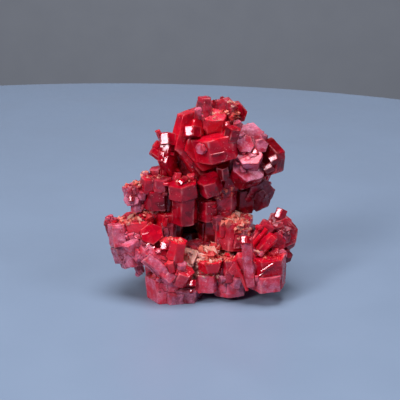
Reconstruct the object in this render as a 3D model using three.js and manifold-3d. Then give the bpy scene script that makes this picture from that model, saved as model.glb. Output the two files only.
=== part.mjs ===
// Vanadinite on matrix: a hand specimen of red hexagonal crystals, grown together round a little brown host
// rock.
// Millimetres, +Z up, +X to the viewer's right, -Y towards the viewer, standing on the plane z = 0.
//
// Crystals of one group have grown through each other, so each group is one solid. Groups only touch at their
// contacts, where a gap is kept. A row of the tables below is one crystal:
//   prism: centre, radius to a corner, length, lean of its long axis as slopes along X and Y, turn about it
//   plate: centre, radius to a corner, thickness, heading and climb of its flat face, roll about it
//   bar: centre, radius to a corner, length, direction of its long axis, direction that a side faces, turn about it
// Angles are in degrees. A heading of -90 faces the viewer. With no turn, a prism has a side facing the viewer,
// and with no roll, a plate has a side facing up.
import * as THREE from "three";
import { mergeVertices } from "three/addons/utils/BufferGeometryUtils.js";
import Module from "manifold-3d";

const wasm = await Module();
wasm.setup();

// Driving dimensions
const CONTACT_GAP = 0.3; // clearance kept between two groups, and between a group and the host rock
// How far a crystal's six sides stand from equal distances, as a share of that distance.
const UNEVENNESS = 0.07;
const CENTRE = [0.26, 1.475]; // plan position of the layout's middle, which becomes the origin
const SLAB = 60; // size of the block that trims what would reach below the resting plane

const FRONT = new THREE.Vector3(0, -1, 0);
const UP = new THREE.Vector3(0, 0, 1);
const SIDES = 6;

// ---- The three ways to place a crystal ----

function prism(at, radius, length, lean = [0, 0], turn = 0, taper = 1) {
  const axis = new THREE.Vector3(lean[0], lean[1], 1).normalize();
  return { at, radius, length, axis, reference: FRONT, turn, taper };
}

function plate(at, radius, thickness, [heading, climb], roll = 0, taper = 1) {
  const [h, c] = [heading, climb].map(THREE.MathUtils.degToRad);
  const axis = new THREE.Vector3(Math.cos(c) * Math.cos(h), Math.cos(c) * Math.sin(h), Math.sin(c));
  return { at, radius, length: thickness, axis, reference: UP, turn: roll, taper };
}

function bar(at, radius, length, axis, facing, turn = 0) {
  const [along, towards] = [axis, facing].map((v) => new THREE.Vector3(...v).normalize());
  return { at, radius, length, axis: along, reference: towards, turn, taper: 1 };
}

// ---- The crystals, group by group ----

const GROUPS = {
  head_crystals: [
    plate([1.5, 1.7, 25.3], 6.6, 2.2, [-62, 6], 12),
    plate([1.3, 1.5, 23.7], 5.8, 2.2, [-62, 6], 0),
    plate([1.9, 1, 25.2], 5.2, 2, [-62, 6], 8),
    bar([-1.2, -1.8, 27.3], 1.45, 1.6, [0, 0.505, 0.863], [-0.31, -0.82, 0.48], 0),
    prism([2.45, -1.6, 25], 3.6, 3.8, [-0.2, 0], 14),
    prism([4.9, -3, 27.4], 1.25, 2.2, [0.25, -0.1], 20),
    prism([1.9, 0.6, 28.2], 2.3, 3.6, [0.05, -0.4], 10),
    prism([0.6, 0.4, 30.6], 1.75, 3.4, [0.05, 0.1], 28, 0.6),
    plate([3.8, 1.5, 29.7], 2.2, 2.2, [-115, 8], 25),
    plate([5.6, 2.5, 29.4], 1.8, 2.4, [-85, 5], 10),
    plate([7.8, 0.8, 25.8], 2.1, 3, [-80, 38], 10),
    plate([7.2, -1.1, 25.1], 1.5, 2.6, [-100, 22], 0),
    plate([9.2, -0.6, 24.8], 1.15, 2.6, [-72, 12], 10),
    plate([7.7, -1.5, 23], 2.1, 2.6, [-92, 46], 5),
    plate([7.2, -0.8, 20.6], 2.8, 3.2, [-66, 44], 8),
    plate([10.5, 0.4, 22.4], 3.3, 2, [-130, 0], 26),
    prism([1.6, -2.4, 18.9], 1.85, 2.6, [-0.25, -0.35], 4),
    prism([4.6, 0.2, 19.4], 2.2, 3.4, [0.1, 0], 12),
    prism([5.6, 0.6, 23.4], 2.3, 5.6, [0.05, 0], 10),
    prism([-2.5, 1, 20.8], 1.7, 3.4, [0.1, 0.1], 10),
    prism([2.4, 4.4, 26], 3, 4.6, [-0.15, 0.5], 10),
    plate([-1.6, 4.2, 24.2], 2.8, 2.6, [130, 15], 5),
    plate([5.8, 5.2, 23.8], 3, 3.2, [70, 10], 18),
    prism([1.6, 5, 21], 2.5, 4, [-0.1, 0.35], 25),
    plate([8.4, 3.4, 24.8], 2.2, 2.4, [40, 35], 8),
  ],
  standing_plate: [
    plate([-4.7, -0.5, 23.3], 3.3, 1.7, [-22, 0], 4),
    prism([-6.8, -0.3, 23.5], 0.95, 1.9, [-1.4, 0], 10),
    prism([-6.2, -0.6, 26.2], 0.45, 2.4, [-0.4, 0], 10),
  ],
  left_arm_crystals: [
    prism([-11, -1.8, 17.7], 1.2, 1.8, [-0.2, 0.1], 12),
    prism([-9.7, -2, 18], 1.1, 1.9, [0.05, -0.1], 24),
    plate([-10.6, -2.2, 16.6], 1.4, 1.6, [-100, 20], 10),
    prism([-10, -1.8, 15.4], 1.1, 2, [0, 0], 20),
    prism([-8.1, -2.4, 19], 1.4, 2.4, [0.1, -0.1], 8),
    prism([-8.7, -1.2, 16.5], 1.5, 2.8, [0.05, 0], 14),
    prism([-6.1, -2.6, 19.2], 1.6, 2, [0.05, -0.05], 0),
    prism([-6.9, -1.6, 16.5], 2.3, 3.2, [0, 0], 10),
    prism([-4.7, -0.6, 15.6], 1.9, 3.6, [0, 0], 20),
    prism([-2.6, -2.8, 18.5], 2.6, 2.4, [-0.1, -0.1], 27),
    prism([-2.4, -2.2, 15.2], 2.2, 5.2, [0.03, 0], 16),
    prism([-4.6, 0.6, 18.2], 2.6, 3.2, [-0.1, 0.1], 15),
    prism([-8.4, 0.6, 17.2], 2.2, 2.8, [-0.2, 0.15], 5),
    prism([-5.6, 3, 17], 2.4, 3.4, [-0.15, 0.4], 20),
  ],
  column_crystals: [
    prism([1.3, -1.4, 14.4], 1.6, 3.4, [0.03, 0], 20),
    prism([3.4, 0, 15.4], 2.4, 5.6, [0.05, 0], 5),
    prism([1.4, 0.2, 9.9], 1.8, 5.4, [0.03, 0.05], 10),
    prism([1.2, 2.8, 13.6], 2.4, 5.2, [-0.1, 0.2], 20),
  ],
  crusted_block: [prism([5.5, -1, 10.5], 3.1, 4.8, [0.03, -0.03], 14)],
  overhang_crystals: [
    plate([9, 3, 15.9], 2.9, 3.4, [-60, -10], 12),
    prism([6.9, 2.4, 14.9], 2.3, 3.6, [0.1, 0], 14),
    prism([9, 5.6, 17], 2.4, 3.6, [0.3, 0.3], 8),
  ],
  left_lobe_crystals: [
    prism([-12.6, -2.5, 10.7], 2, 3.6, [-0.1, 0.15], 0),
    prism([-14, -1.4, 11.4], 1.05, 2.8, [-0.15, 0.1], 12),
    prism([-9.9, -1.6, 11.9], 3, 2.8, [-0.14, -0.08], 0),
    plate([-7.7, -4.4, 11.3], 1.85, 1.8, [-78, 32], 32),
    prism([-5.5, -2.2, 13.2], 1.45, 2.4, [0.1, -0.2], 18),
    prism([-5.5, -1.8, 11.2], 1.7, 3, [0, 0], 10),
    prism([-10.5, -4.2, 9.5], 1.7, 2.2, [-0.5, -0.25], 12),
    prism([-9.5, -4.6, 8.4], 1.5, 2, [0.45, -0.3], 24),
    prism([-8.7, -5.2, 8.6], 1.3, 2, [0.6, -0.2], 4),
    prism([-12.2, -2.6, 7.5], 1.9, 2.8, [-0.3, 0.1], 10),
    prism([-10.4, -3.6, 6.9], 1.8, 2.2, [-0.1, 0.2], 22),
    bar([-7.1, -5.6, 8], 1.3, 4.4, [0.74, -0.05, -0.67], [0.15, -1, 0.5], 0),
    bar([-6.4, -6.1, 6.4], 1.35, 5.6, [0.74, -0.05, -0.67], [0.1, -1, 0.3], 0),
    prism([-3.8, -5.8, 8.6], 1.65, 4.8, [0.2, -0.1], 24, 0.85),
    plate([-5.8, -5.4, 8], 1.5, 1.6, [-70, 10], 10),
    prism([-10, -2.8, 5.2], 0.7, 2.4, [-0.4, 0.1], 10),
    prism([-9.4, 1.6, 10.2], 2.8, 4, [-0.2, 0.2], 12),
    prism([-2.9, -5.7, 5], 1.7, 2.8, [0.5, -0.4], 8),
    prism([-6.4, 0.4, 8.2], 3, 4, [-0.1, 0.1], 22),
    prism([-7.4, 4.4, 8.2], 2.6, 4, [-0.35, 0.2], 24),
    prism([-4.7, 1.2, 11.2], 2.2, 4.4, [0.1, 0.05], 18),
    prism([-6.6, 3.4, 5.4], 2.6, 4.4, [-0.1, 0.1], 16),
    prism([-6.2, 5.4, 2.2], 3.2, 5, [-0.1, 0.15], 10),
  ],
  foot_crystals: [
    prism([-5.2, -2.6, 1.9], 3.6, 4.3, [-0.12, 0.06], 6),
    prism([-2.5, -3.1, 1.2], 3.2, 2.7, [0.1, -0.1], 6),
  ],
  rim_crystals: [
    prism([1, -3.9, 3.2], 2.3, 2.9, [0.02, 0.02], 4),
    prism([4.8, -3.2, 2.2], 2.6, 3.2, [-0.05, 0.1], 20),
    prism([1.6, -4.7, 6.3], 1.8, 1.9, [0, -0.05], 12, 1.25),
    prism([4.7, -4.4, 5.4], 1.6, 3.8, [0, 0], 5),
    plate([7, -5.4, 6.2], 2.5, 1.6, [-95, -12], 0),
    prism([7.6, -6.5, 7.5], 0.85, 8.2, [-0.09, 0.02], 8),
  ],
  right_lobe_crystals: [
    prism([10.6, -4.4, 5.3], 3.1, 5.2, [-0.02, -0.04], 12),
    prism([10.57, -4.45, 3.9], 3.16, 2.6, [-0.02, -0.04], 12),
    bar([9.9, -2.5, 10.2], 1.5, 5, [0.55, 0.05, 0.83], [-0.3, -1, 0.2], 10),
    bar([8.9, -2.6, 9.9], 1, 4.8, [0.6, 0, 0.8], [-0.6, -1, 0.2], 20),
    bar([10.4, -4.4, 9.6], 0.9, 4, [0.62, 0, 0.78], [-0.2, -1, 0.2], 5),
    plate([11.6, -2.9, 8.9], 2.2, 1.8, [-80, 5], 18),
    plate([12.7, -0.8, 10.1], 2.8, 2.8, [-68, 12], 14),
    plate([12.4, -1.7, 9.9], 1.3, 2.2, [-85, -8], 10),
    bar([12.9, -0.7, 13.4], 0.95, 1.6, [0.35, 0.354, 0.83], [-0.31, -0.82, 0.48], 0),
    prism([13, 0.2, 6.6], 1.8, 3, [0.15, 0.1], 10),
    plate([13.4, -1.6, 6.7], 1.3, 2, [-60, 0], 10),
    prism([10.2, 1.6, 7.4], 2.8, 4.6, [0.1, 0.2], 16),
    prism([9, 4.4, 7], 2.6, 4, [0.35, 0.2], 12),
    prism([8.4, 3.6, 5.4], 2.7, 4, [0.1, 0.1], 4),
    prism([6.8, 5.6, 2.3], 3.3, 5.2, [0.15, 0.2], 22),
  ],
  back_crystals: [
    prism([0.4, 6.6, 4.4], 3.6, 5.6, [-0.05, 0.3], 6),
    plate([-2.8, 7.6, 8], 3, 2.8, [105, 20], 12),
    plate([3.8, 7.2, 9], 2.8, 2.8, [75, 25], 4),
    prism([0.6, 5.8, 12.4], 2.8, 4.6, [0, 0.3], 16),
    prism([4.2, 5.2, 15.6], 2.4, 4, [0.1, 0.3], 4),
    prism([-2.6, 5, 15.2], 2.3, 3.8, [-0.2, 0.35], 20),
  ],
};

// ---- Host rock: rounded lumps, roughened ----

const ROCK_LUMPS = [
  { at: [0.5, 0.2, 4.6], half: [8.6, 5.6, 3.0] },
  { at: [2.2, 2.6, 13.0], half: [3.0, 2.4, 9.0] },
  { at: [1.6, 2.6, 22.4], half: [4.6, 2.6, 4.4] },
];
const ROCK_DETAIL = 3; // subdivisions of the sphere that each lump starts from
const ROCK_ROUGHNESS = 0.07; // height of the lumps' bumps as a share of their size

// ---- Geometry ----

/** The corners of an uneven hexagon whose sides keep the crystal's 120 degree corners. */
function hexagon({ at, radius }, grow) {
  const step = (2 * Math.PI) / SIDES;
  const seed = at[0] + 2 * at[1] + 3 * at[2];
  const reach = Array.from({ length: SIDES }, (_, k) => {
    const share = 1 + UNEVENNESS * Math.sin(2.4 * k + seed);
    return radius * Math.cos(step / 2) * share + grow;
  });
  return reach.map((near, k) => {
    const next = reach[(k + 1) % SIDES];
    const along = (next - near * Math.cos(step)) / Math.sin(step);
    return new THREE.Vector2(
      near * Math.cos(k * step) - along * Math.sin(k * step),
      near * Math.sin(k * step) + along * Math.cos(k * step),
    );
  });
}

/** A crystal's closed hexagonal body in place, enlarged on every side by grow. */
function crystalGeometry(crystal, grow = 0) {
  const { at, axis, reference, length, turn, taper } = crystal;
  const depth = length + 2 * grow;
  const shape = new THREE.Shape(hexagon(crystal, grow));
  const geometry = new THREE.ExtrudeGeometry(shape, { depth, bevelEnabled: false });
  geometry.translate(0, 0, -depth / 2);
  const points = geometry.attributes.position;
  for (let i = 0; i < points.count; i++) {
    const share = points.getZ(i) > 0 ? taper : 1;
    points.setXY(i, points.getX(i) * share, points.getY(i) * share);
  }
  const side = reference.clone().addScaledVector(axis, -reference.dot(axis)).normalize();
  const across = new THREE.Vector3().crossVectors(axis, side);
  geometry.rotateZ(THREE.MathUtils.degToRad(turn));
  geometry.applyMatrix4(new THREE.Matrix4().makeBasis(side, across, axis));
  geometry.translate(at[0] - CENTRE[0], at[1] - CENTRE[1], at[2]);
  return geometry;
}

/** One rounded lump of rock with a coarse surface. */
function lumpGeometry({ at, half }) {
  const geometry = new THREE.IcosahedronGeometry(1, ROCK_DETAIL);
  const points = geometry.attributes.position;
  const p = new THREE.Vector3();
  for (let i = 0; i < points.count; i++) {
    p.fromBufferAttribute(points, i);
    const bumps = Math.sin(7 * p.x + 3 * p.z) + Math.sin(9 * p.y - 5 * p.x) + Math.sin(8 * p.z + 4 * p.y);
    p.multiplyScalar(1 + ROCK_ROUGHNESS * bumps);
    points.setXYZ(i, p.x * half[0], p.y * half[1], p.z * half[2]);
  }
  geometry.translate(at[0] - CENTRE[0], at[1] - CENTRE[1], at[2]);
  return geometry;
}

// ---- Joining and cutting ----

/** A closed surface as a solid that can be joined and cut. */
function solidOf(geometry) {
  const bare = new THREE.BufferGeometry();
  bare.setAttribute("position", geometry.getAttribute("position"));
  if (geometry.index) bare.setIndex(geometry.index);
  const merged = mergeVertices(bare, 1e-4);
  const vertProperties = new Float32Array(merged.attributes.position.array);
  const triVerts = new Uint32Array(merged.index.array);
  return new wasm.Manifold(new wasm.Mesh({ numProp: 3, vertProperties, triVerts }));
}

/** The geometry of a solid, for a mesh. */
function geometryOf(solid) {
  const { vertProperties, triVerts, numProp } = solid.getMesh();
  const buffer = new THREE.InterleavedBuffer(vertProperties, numProp);
  const packed = new THREE.BufferGeometry();
  packed.setAttribute("position", new THREE.InterleavedBufferAttribute(buffer, 3, 0));
  packed.setIndex(new THREE.BufferAttribute(triVerts, 1));
  const flat = packed.toNonIndexed();
  flat.computeVertexNormals();
  return flat;
}

/** The largest piece of a solid, without splinters or sealed hollows. */
function mainBody(solid) {
  const bodies = solid.decompose().sort((a, b) => b.volume() - a.volume());
  return bodies[0];
}

const joined = (crystals, grow = 0) =>
  wasm.Manifold.union(crystals.map((crystal) => solidOf(crystalGeometry(crystal, grow))));

const belowGround = solidOf(new THREE.BoxGeometry(SLAB, SLAB, SLAB).translate(0, 0, -SLAB / 2));

// ---- Materials ----

const MATERIALS = {
  vanadinite: new THREE.MeshStandardMaterial({ color: 0x9c1020, roughness: 0.18, metalness: 0 }),
  host_rock: new THREE.MeshStandardMaterial({ color: 0x8a5f45, roughness: 0.9, metalness: 0 }),
};

// ---- The specimen ----

const specimen = new THREE.Group();
let room = belowGround; // what the pieces made so far, and the ground, leave no space for

for (const [name, crystals] of Object.entries(GROUPS)) {
  const solid = mainBody(joined(crystals).subtract(room));
  const mesh = new THREE.Mesh(geometryOf(solid), MATERIALS.vanadinite);
  mesh.name = name;
  specimen.add(mesh);
  room = room.add(joined(crystals, CONTACT_GAP));
}

const rock = wasm.Manifold.union(ROCK_LUMPS.map((lump) => solidOf(lumpGeometry(lump))));
const matrix = new THREE.Mesh(geometryOf(mainBody(rock.subtract(room))), MATERIALS.host_rock);
matrix.name = "matrix";
specimen.add(matrix);

export default specimen;
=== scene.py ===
"""Visual model of a vanadinite specimen: deep red hexagonal crystals grown together round a brown host rock.

The tables give each crystal in millimetres, in the part's own layout: +Z up, +X to the viewer's right, -Y
towards the viewer. Every mesh is made in metres in the row frame, so its object stays at the origin.
"""

import logging
import math
from dataclasses import dataclass, field, replace
from enum import Enum

import bpy
import numpy as np
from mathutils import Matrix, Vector


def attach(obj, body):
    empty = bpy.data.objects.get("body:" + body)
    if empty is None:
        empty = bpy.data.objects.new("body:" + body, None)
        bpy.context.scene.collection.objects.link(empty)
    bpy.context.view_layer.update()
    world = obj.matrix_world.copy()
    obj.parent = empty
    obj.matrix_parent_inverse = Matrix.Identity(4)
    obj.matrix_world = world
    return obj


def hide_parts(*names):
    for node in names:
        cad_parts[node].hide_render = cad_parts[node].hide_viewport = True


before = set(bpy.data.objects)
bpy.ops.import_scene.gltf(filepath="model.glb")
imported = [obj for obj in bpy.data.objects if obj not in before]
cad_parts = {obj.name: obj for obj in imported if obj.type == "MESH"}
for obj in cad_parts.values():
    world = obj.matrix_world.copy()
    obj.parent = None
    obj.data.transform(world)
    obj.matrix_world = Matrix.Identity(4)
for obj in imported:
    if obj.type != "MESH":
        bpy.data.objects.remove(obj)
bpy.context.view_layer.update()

LOG = logging.getLogger("vanadinite")
MM = 0.001
SIDES = 6
MIDDLE = np.array([0.26, 1.475, 0.0])  # the layout's middle in plan, which is the row's origin
UNEVENNESS = 0.07  # how far a crystal's six sides stand from equal distances, as a share of that distance
RIB_PITCH = 0.42  # height of one of the stacked plates of a ribbed crystal
CREASE = 24  # angle in degrees past which an edge looks sharp
SIDE_TURNS = np.arange(SIDES) * math.tau / SIDES
SIDE_NORMALS = np.stack([np.cos(SIDE_TURNS), np.sin(SIDE_TURNS)], -1)


class Skin(Enum):
    """How a crystal's faces have grown."""

    GLASSY = "glassy"
    STEPPED = "stepped"
    # Frosted faces take a pale lilac colour, partly pitting and partly a painted sheen of reflected light.
    FROSTED = "frosted"
    RIBBED = "ribbed"
    # Its pale upper end is partly pitting and partly a painted sheen of the upper light.
    CAPPED = "frosted on its upper end alone"
    MIRROR = "mirror"


@dataclass(frozen=True)
class Relief:
    """The relief that one skin gives to a crystal's faces, in millimetres.

    Attributes:
        cap_islands: number of raised or sunken hexagonal islands on each end face.
        cap_height: greatest height of such an island.
        ledges: number of raised or sunken oblong ledges on each side.
        ledge_height: greatest height of a ledge.
        mosaic: size of the small tilted facets that break up every face, or 0 for none.
        mosaic_tilt: greatest slope of such a facet.
        ribs: depth of the grooves between stacked growth plates on the sides.
        frost_and_sheen: how dull and pale the surface is, 0 to 1, or -1 where it is a mirror; the pale colour is
            partly pitting and partly a painted sheen of reflected light.
        at_seams: share of the places at its seams with other crystals that carry a small crystal.
        on_faces: share of the places on its open faces that carry one.
    """

    cap_islands: int
    cap_height: float
    ledges: int
    ledge_height: float
    mosaic: float
    mosaic_tilt: float
    ribs: float
    frost_and_sheen: float
    at_seams: float
    on_faces: float


RELIEFS = {
    Skin.GLASSY: Relief(3, 0.05, 2, 0.04, 2.2, 0.03, 0.0, 0.0, 0.08, 0.0),
    Skin.STEPPED: Relief(7, 0.09, 5, 0.07, 1.3, 0.05, 0.0, 0.15, 0.3, 0.015),
    Skin.FROSTED: Relief(2, 0.04, 6, 0.06, 0.8, 0.07, 0.0, 0.75, 0.18, 0.012),
    Skin.RIBBED: Relief(3, 0.08, 4, 0.05, 1.2, 0.05, 0.14, 0.1, 0.05, 0.0),
    Skin.CAPPED: Relief(6, 0.07, 3, 0.05, 1.2, 0.05, 0.0, 1.0, 0.1, 0.0),
    Skin.MIRROR: Relief(0, 0.0, 0, 0.0, 3.0, 0.0, 0.0, -1.0, 0.0, 0.0),
}


@dataclass(frozen=True)
class Crystal:
    """One hexagonal crystal.

    Attributes:
        at: centre.
        radius: distance from its long axis to a corner.
        length: length along that axis.
        axis: direction of the long axis.
        reference: direction that side 0 faces as nearly as it can.
        turn: turn about the axis, in degrees.
        taper: size of the upper end as a share of the lower one.
        skin: how its faces have grown.
        tint: from 0, dark, to 1, bright; the crystal's own tone, with painted shade in low tints and a painted
            glow of light through the crystal in high ones.
        brood: number of smaller crystals grown parallel to it out of its faces.
    """

    at: tuple[float, float, float]
    radius: float
    length: float
    axis: tuple[float, float, float]
    reference: tuple[float, float, float]
    turn: float = 0.0
    taper: float = 1.0
    skin: Skin = Skin.GLASSY
    tint: float = 0.5
    brood: int = 3

    def frame(self) -> np.ndarray:
        """The crystal's own directions.

        Returns:
            Its own X, which is the direction that side 0 faces, its Y, and its Z, the long axis, as rows.
        """
        axis = np.array(self.axis, float)
        axis /= np.linalg.norm(axis)
        facing = np.array(self.reference, float)
        facing -= facing @ axis * axis
        facing /= np.linalg.norm(facing)
        turn = math.radians(self.turn)
        first = math.cos(turn) * facing + math.sin(turn) * np.cross(axis, facing)
        return np.stack([first, np.cross(axis, first), axis])

    def reach(self) -> np.ndarray:
        """Distance of each side from the axis: the mean distance times 1 plus a sine of the side's number."""
        waver = np.sin(2.4 * np.arange(SIDES) + self.at[0] + 2 * self.at[1] + 3 * self.at[2])
        return self.radius * math.cos(math.pi / SIDES) * (1 + UNEVENNESS * waver)

    def depth(self, points: np.ndarray) -> np.ndarray:
        """How far outside the crystal points lie, about: the largest of their distances past its eight faces.

        Args:
            points: places of shape (count, 3).

        Returns:
            A distance for each, less than zero inside.
        """
        own = (points - np.array(self.at)) @ self.frame().T
        past_sides = (own[:, :2] @ SIDE_NORMALS.T - self.reach()).max(-1)
        return np.maximum(past_sides, abs(own[:, 2]) - self.length / 2)


def prism(
    at: tuple, radius: float, length: float, lean: tuple = (0, 0), turn: float = 0, **more: object
) -> Crystal:
    """A crystal placed by the lean of its long axis.

    Args:
        at: centre.
        radius: radius to a corner.
        length: length.
        lean: slopes of the axis along X and Y.
        turn: turn about the axis; with none, a side faces the viewer.
        more: the crystal's other attributes.

    Returns:
        The crystal.
    """
    return Crystal(at, radius, length, (lean[0], lean[1], 1.0), (0, -1, 0), turn, **more)


def plate(
    at: tuple, radius: float, thickness: float, face: tuple, roll: float = 0, **more: object
) -> Crystal:
    """A crystal placed by where its flat end face looks.

    Args:
        at: centre.
        radius: radius to a corner.
        thickness: thickness.
        face: heading and climb of the end face in degrees; a heading of -90 faces the viewer.
        roll: turn about that direction; with none, a side faces up.
        more: the crystal's other attributes.

    Returns:
        The crystal.
    """
    heading, climb = (math.radians(angle) for angle in face)
    axis = (math.cos(climb) * math.cos(heading), math.cos(climb) * math.sin(heading), math.sin(climb))
    return Crystal(at, radius, thickness, axis, (0, 0, 1), roll, **more)


def bar(
    at: tuple, radius: float, length: float, axis: tuple, facing: tuple, turn: float = 0, **more: object
) -> Crystal:
    """A crystal placed by its long axis and the direction that one of its sides faces.

    Args:
        at: centre.
        radius: radius to a corner.
        length: length.
        axis: direction of the long axis.
        facing: direction that side 0 faces as nearly as it can.
        turn: turn about the axis.
        more: the crystal's other attributes.

    Returns:
        The crystal.
    """
    return Crystal(at, radius, length, axis, facing, turn, **more)


class Ripple:
    """A smooth random field of about unit height: sine waves in random directions, added up."""

    def __init__(self, rng: np.random.Generator, size: float, waves: int = 10) -> None:
        """Draws the waves.

        Args:
            rng: random source.
            size: typical distance between two crests.
            waves: number of waves.
        """
        directions = rng.normal(size=(waves, 3))
        directions /= np.linalg.norm(directions, axis=1, keepdims=True)
        self.waves = directions * (math.tau / size) * rng.uniform(0.6, 1.5, (waves, 1))
        self.phases = rng.uniform(0, math.tau, waves)

    def __call__(self, points: np.ndarray) -> np.ndarray:
        """Height of the field at points of shape (..., 3)."""
        return np.sin(points @ self.waves.T + self.phases).sum(-1) / math.sqrt(len(self.phases) / 2)


@dataclass
class Surface:
    """A closed mesh as arrays.

    Attributes:
        points: vertices in millimetres, in the layout.
        quads: corner indices of its four-sided faces.
        triangles: corner indices of its three-sided faces.
        layers: named values per vertex.
    """

    points: np.ndarray
    quads: np.ndarray
    triangles: np.ndarray
    layers: dict[str, np.ndarray] = field(default_factory=dict)

    def mesh(self, name: str) -> bpy.types.Mesh:
        """The surface as a Blender mesh in metres in the row frame.

        Args:
            name: name of the mesh.

        Returns:
            The mesh, with every layer as a point attribute.
        """
        made = bpy.data.meshes.new(name)
        places = (self.points - MIDDLE) * MM
        made.from_pydata(places.tolist(), [], self.quads.tolist() + self.triangles.tolist())
        made.update()
        for key, values in self.layers.items():
            kind, member = ("FLOAT_VECTOR", "vector") if values.ndim == 2 else ("FLOAT", "value")
            layer = made.attributes.new(key, kind, "POINT")
            layer.data.foreach_set(member, values.astype(np.float32).ravel())
        return made


def tube_faces(rows: int, columns: int) -> tuple[np.ndarray, np.ndarray]:
    """Faces of a closed surface whose first and last vertices are poles, with rings of vertices between them.

    Args:
        rows: number of rings.
        columns: vertices in a ring, counted anticlockwise seen from the last pole.

    Returns:
        Quads between the rings, and triangles at both poles.
    """
    ring = np.arange(columns)
    following = (ring + 1) % columns
    start = 1 + np.arange(rows - 1)[:, None] * columns
    quads = np.stack(
        [start + ring, start + following, start + columns + following, start + columns + ring], -1
    ).reshape(-1, 4)
    top = 1 + (rows - 1) * columns
    last = 1 + rows * columns
    lower = np.stack([np.zeros(columns, int), 1 + following, 1 + ring], -1)
    upper = np.stack([np.full(columns, last), top + ring, top + following], -1)
    return quads, np.vstack([lower, upper])


@dataclass
class CrystalSurface:
    """A crystal's surface as a function of two parameters: the place round the hexagonal section, and the place
    along a profile that runs from the middle of the lower end face, over its rim, up the sides and to the middle
    of the upper end face.

    Attributes:
        crystal: the crystal.
        seed: seed of its relief.
        cell: size of a mesh cell in millimetres.
        bevel: width of its rounded edges in millimetres.
    """

    crystal: Crystal
    seed: int
    cell: float = 0.15
    bevel: float = 0.09

    def corners(self) -> np.ndarray:
        """Corners of the section. Corner k is where sides k and k + 1 meet. It lies along side k, from the foot of
        its normal, by the next side's distance less side k's own times the cosine of the turn between them, over
        the sine of that turn.

        Returns:
            Points of shape (6, 2).
        """
        near = self.crystal.reach()
        after = np.roll(near, -1)
        step = math.tau / SIDES
        along = (after - near * math.cos(step)) / math.sin(step)
        tangents = np.stack([-SIDE_NORMALS[:, 1], SIDE_NORMALS[:, 0]], -1)
        return near[:, None] * SIDE_NORMALS + along[:, None] * tangents

    def section(self) -> tuple[np.ndarray, np.ndarray, np.ndarray]:
        """Points round the hexagon, closer together at its corners.

        Returns:
            The points, the side each belongs to, and its signed distance from the middle of that side.
        """
        corners = self.corners()
        starts = np.roll(corners, 1, axis=0)
        points, sides, offsets = [], [], []
        for side in range(SIDES):
            width = float(np.linalg.norm(corners[side] - starts[side]))
            near = min(0.25, self.bevel / width)
            count = max(3, round(width / self.cell))
            share = np.concatenate([[0.0, near / 2], np.linspace(near, 1 - near, count), [1 - near / 2]])
            points.append(starts[side] + share[:, None] * (corners[side] - starts[side]))
            sides.append(np.full(len(share), side))
            offsets.append((share - 0.5) * width)
        return np.concatenate(points), np.concatenate(sides), np.concatenate(offsets)

    def profile(self) -> tuple[np.ndarray, np.ndarray]:
        """Scale of the section and height along the profile.

        Returns:
            Scales from 0 at the middle of an end face to 1 on the sides, and heights.
        """
        half = self.crystal.length / 2
        radius = self.crystal.radius
        bevel = min(self.bevel, half * 0.4, radius * 0.2)
        rings = max(3, round(radius / self.cell))
        flat = np.linspace(0, 1 - bevel / radius, rings + 1)[1:]
        arc = np.radians([30.0, 60.0])
        rim_scale = 1 - bevel / radius * (1 - np.sin(arc))
        rim_height = bevel * (1 - np.cos(arc))
        rows = max(2, round((2 * half - 2 * bevel) / self.cell))
        side = np.linspace(-half + bevel, half - bevel, rows + 1)
        scales = np.concatenate([flat, rim_scale, np.ones(rows + 1), rim_scale[::-1], flat[::-1]])
        heights = np.concatenate(
            [np.full(rings, -half), -half + rim_height, side, (half - rim_height)[::-1], np.full(rings, half)]
        )
        return scales, heights

    def cap_relief(self, rng: np.random.Generator, flat: np.ndarray) -> np.ndarray:
        """Height of an end face: hexagonal islands, each a step up or down inside its outline.

        Args:
            rng: random source.
            flat: plan positions of shape (..., 2).

        Returns:
            Height at each position.
        """
        relief = RELIEFS[self.crystal.skin]
        radius = self.crystal.radius
        height = np.zeros(flat.shape[:-1])
        for _ in range(relief.cap_islands):
            place = rng.uniform(-0.75, 0.75, 2) * radius
            size = rng.uniform(0.15, 0.75) * radius
            distance = ((flat - place) @ SIDE_NORMALS.T).max(-1)
            step = rng.uniform(-1, 1) * relief.cap_height
            height += step * np.clip((size - distance) / (0.8 * self.cell), 0, 1)
        return height

    def side_relief(
        self, rng: np.random.Generator, side: np.ndarray, offset: np.ndarray, up: np.ndarray
    ) -> np.ndarray:
        """Outward height of the sides: oblong ledges, and the grooves of stacked plates.

        Args:
            rng: random source.
            side: side that each column belongs to.
            offset: each column's distance from the middle of its side.
            up: height of each row.

        Returns:
            Outward height of shape (rows, columns).
        """
        relief = RELIEFS[self.crystal.skin]
        half, radius = self.crystal.length / 2, self.crystal.radius
        height = np.zeros((len(up), len(side)))
        for _ in range(relief.ledges * SIDES):
            chosen = rng.integers(SIDES)
            middle = rng.uniform(-0.5, 0.5) * radius
            width = rng.uniform(0.25, 1.0) * radius
            level = rng.uniform(-1, 1) * half
            depth = rng.uniform(0.06, 0.5) * half
            step = rng.uniform(-1, 1) * relief.ledge_height
            across = np.clip((width - abs(offset - middle)) / (0.8 * self.cell), 0, 1) * (side == chosen)
            along = np.clip((depth - abs(up - level)) / (0.8 * self.cell), 0, 1)
            height += step * along[:, None] * across
        if relief.ribs:
            layers = np.floor(up / RIB_PITCH + rng.uniform())
            shift = rng.uniform(-1, 1, (64, SIDES))[(layers.astype(int)) % 64]
            groove = np.abs(np.mod(up / RIB_PITCH + 0.5, 1) - 0.5) * 2
            height += relief.ribs * (0.6 * shift[:, side] - (groove**3)[:, None])
        return height

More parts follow.
